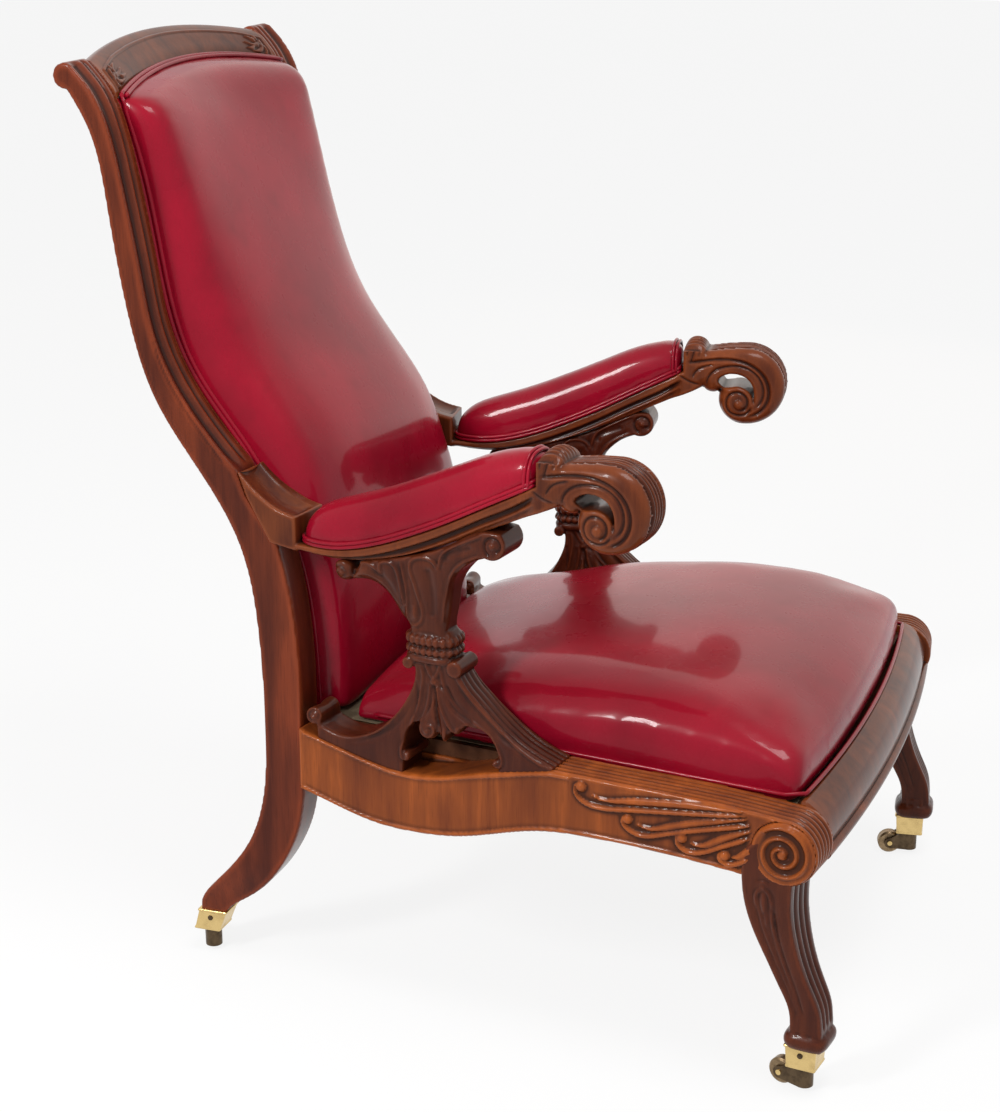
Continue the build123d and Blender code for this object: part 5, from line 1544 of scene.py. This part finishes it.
def crest_grid():
    """Sections of the crest from upright to upright: the face runs up, over the roll and down the back."""
    rows = 150
    x = np.linspace(-1, 1, 220)
    line = smooth(CREST, rows)
    under = np.linspace(line[-1], line[0], 14)[1:-1]
    loop = np.concatenate([line, under])
    bow = (1 - x ** 2)[:, None]
    y = loop[None, :, 0] + bow * CREST_BOW + SHIFT
    z = loop[None, :, 1] + bow * CREST_ARCH
    across = np.broadcast_to((x * (INNER + 0.0022))[:, None], y.shape)
    along = np.concatenate([np.linspace(0, 1, rows), np.full(len(under), -1.0)])
    return np.stack([across, y, z], -1), np.broadcast_to(along, y.shape), np.broadcast_to(x[:, None], y.shape)


def crest_relief(u, s):
    """Bead border and corner sprays: u is the place across, s the share of the way over the section."""
    us = u * INNER * 1000
    ss = s * 92
    flat_points = np.stack([us.ravel(), ss.ravel()], -1) / 1000
    border = mm([(-190, 3.5), (-190, 26), (-150, 29.5), (0, 31), (150, 29.5), (190, 26), (190, 3.5)])
    height = bead(flat_points, border, 0.0032, 0.0015)
    for sign in (-1, 1):
        for stem in (
            [(184, 22), (176, 17), (164, 15), (152, 18)], [(184, 22), (178, 12), (168, 8), (158, 8)],
            [(176, 17), (170, 22), (160, 25)], [(166, 15), (160, 11), (150, 11)], [(182, 18), (184, 10), (180, 5)],
        ):
            line = drawn(np.array(stem) * [sign, 1], 24)
            height = np.maximum(height, bead(flat_points, line, 0.0048, 0.0022, 0.4))
        petals = drops(flat_points, [(sign * 176 + 5 * math.cos(a), 19 + 5 * math.sin(a), 3.2, 3.2, 2.4)
                                     for a in np.linspace(0, 5.2, 5)])
        height = np.maximum(height, petals)
    return height.reshape(u.shape)


grid, along, across_share = crest_grid()
shown = (along >= 0) & (along < 0.45)
relief = crest_relief(across_share, along) * shown
du = np.gradient(grid, axis=0)
ds = np.gradient(grid, axis=1)
outward = np.cross(du, ds)
outward /= np.maximum(np.linalg.norm(outward, axis=2, keepdims=True), 1e-9)
outward *= 1 if outward[110, 40, 1] < 0 else -1
crest = closed_mesh("crest", *lofted(grid + outward * relief[..., None]))
fitted("crest_carved", crest, wood_panel, "crest_rail")

# %% [markdown]
# ## The front rail
# The rail under the seat's front edge is bowed like the seat. Its face bulges, and a bead runs along its foot.

# %% Front rail
RAIL_FRONT = mm([(-442, 250), (-442, 280), (-482.5, 280), (-482.5, 307)])
FRONT_EDGE, RAIL_BACK = -0.467, -0.442


def rail_section():
    """Its section: seat side, flat top, bulging face and bead."""
    straight = np.concatenate([np.linspace(a, b, 10)[:-1] for a, b in zip(RAIL_FRONT, RAIL_FRONT[1:])])
    face = drawn([(-482.5, 307), (-486.5, 307.8), (-490.5, 306.2), (-498, 301), (-505, 292.5), (-509.2, 282),
                  (-510.8, 272), (-510.6, 264)], 60)
    foot = arc((-509.6, 261.5), (-515.8, 256), (-510.5, 250.2), 20)
    under = np.linspace((-0.5105, 0.250), (RAIL_BACK, 0.250), 14)[1:-1]
    return np.concatenate([straight, face, foot, under])


def rail_face(back):
    """Half the width between the side rails at a station."""
    return BACK_HALF + (DATUM - back) * math.tan(SPLAY) - REED_BAND / math.cos(SPLAY)


section = rail_section()
half_edge = rail_face(FRONT_EDGE)
bow_radius = (half_edge ** 2 + FRONT_BOW ** 2) / (2 * FRONT_BOW)
bow_centre = RAIL_BACK + bow_radius
reach = bow_centre - section[:, 0]
x_end = np.full(len(section), half_edge)
for _ in range(4):
    y_end = bow_centre - np.sqrt(reach ** 2 - x_end ** 2)
    x_end = rail_face(y_end)
x = np.linspace(-1, 1, 240)[:, None] * x_end
y = bow_centre - np.sqrt(reach ** 2 - x ** 2) + SHIFT
grid = np.stack([x, y, np.broadcast_to(section[:, 1], x.shape)], -1)
fitted("front_rail_shaped", closed_mesh("front_rail", *lofted(grid)), wood_panel, "front_rail")

# %% [markdown]
# ## The castor cups
# Every foot stands in a square cup of cast brass. It has a bead round its mouth, a short skirt at its foot and a
# hole for the castor's pivot. One closed profile runs round each cup, square outside and round at the hole, and
# the rear cups lean back as the legs do. The pivots, horns and wheels are the frame's own solids.

# %% Cups
# height over the floor and half width in mm, then 1 for a square ring or 0 for a round one
CUP = np.array([
    (31.0, 3.3, 0), (31.0, 12.6, 1), (28.9, 13.4, 1), (28.4, 14.3, 1), (28.5, 15.3, 1), (29.2, 16.1, 1),
    (30.4, 16.3, 1), (31.6, 15.9, 1), (32.2, 15.7, 1), (33.0, 15.7, 1), (50.8, 16.75, 1), (51.4, 16.8, 1),
    (51.9, 17.3, 1), (52.6, 18.0, 1), (53.5, 18.3, 1), (54.4, 18.1, 1), (55.1, 17.4, 1), (55.3, 16.4, 1),
    (54.8, 14.2, 1), (53.8, 13.2, 1), (34.6, 12.9, 1), (34.0, 12.0, 1), (34.0, 3.3, 0),
])
CUP_BOTTOM = 31.0
CUP_LEAN = 8.0 / 24.0
CUP_CORNERS = 96


def cup_points(middle, turn, lean):
    """Half width times cos and sin, each to a power that is 1 on a round ring and 0.1 on a square one.

    The ring is turned with its leg, and moved forwards by the lean for every mm above the cup's underside.
    """
    t = full_turn(CUP_CORNERS) + np.pi / CUP_CORNERS
    height, half, square = CUP[:, :1], CUP[:, 1:2], CUP[:, 2:3]
    across = half * power(np.cos(t), 1 - 0.90 * square)
    deep = half * power(np.sin(t), 1 - 0.90 * square) - lean * (height - CUP_BOTTOM)
    x = middle[0] + (across * math.cos(turn) - deep * math.sin(turn)) / 1000
    y = middle[1] + (across * math.sin(turn) + deep * math.cos(turn)) / 1000
    return np.stack([x, y, np.broadcast_to(height, x.shape) / 1000], -1)


for end, turn, lean in (("front", -SPLAY, 0), ("rear", 0, CUP_LEAN)):
    pin = points_of(frame["nodes"][f"castor_pivot_{end}_right"].data)
    rings = cup_points((pin.min(0) + pin.max(0)) / 2, turn, lean)
    mesh = closed_mesh("cup", rings, grid_faces(len(CUP), CUP_CORNERS, True, True).tolist())
    cup = placed(f"castor_cup_shaped_{end}_right", mesh, cast_brass, f"castor_cup_{end}_right")
    mirrored(cup, f"castor_cup_shaped_{end}_left", f"castor_cup_{end}_left")
    print(end, "cup", len(mesh.polygons), "faces")

# %% Sizes and finish
visual_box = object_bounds()
plain_box = lambda corners: [[float(v) for v in corner] for corner in corners]
{"cad": plain_box(cad_box), "visual": plain_box(visual_box)}
print("visual box", visual_box)
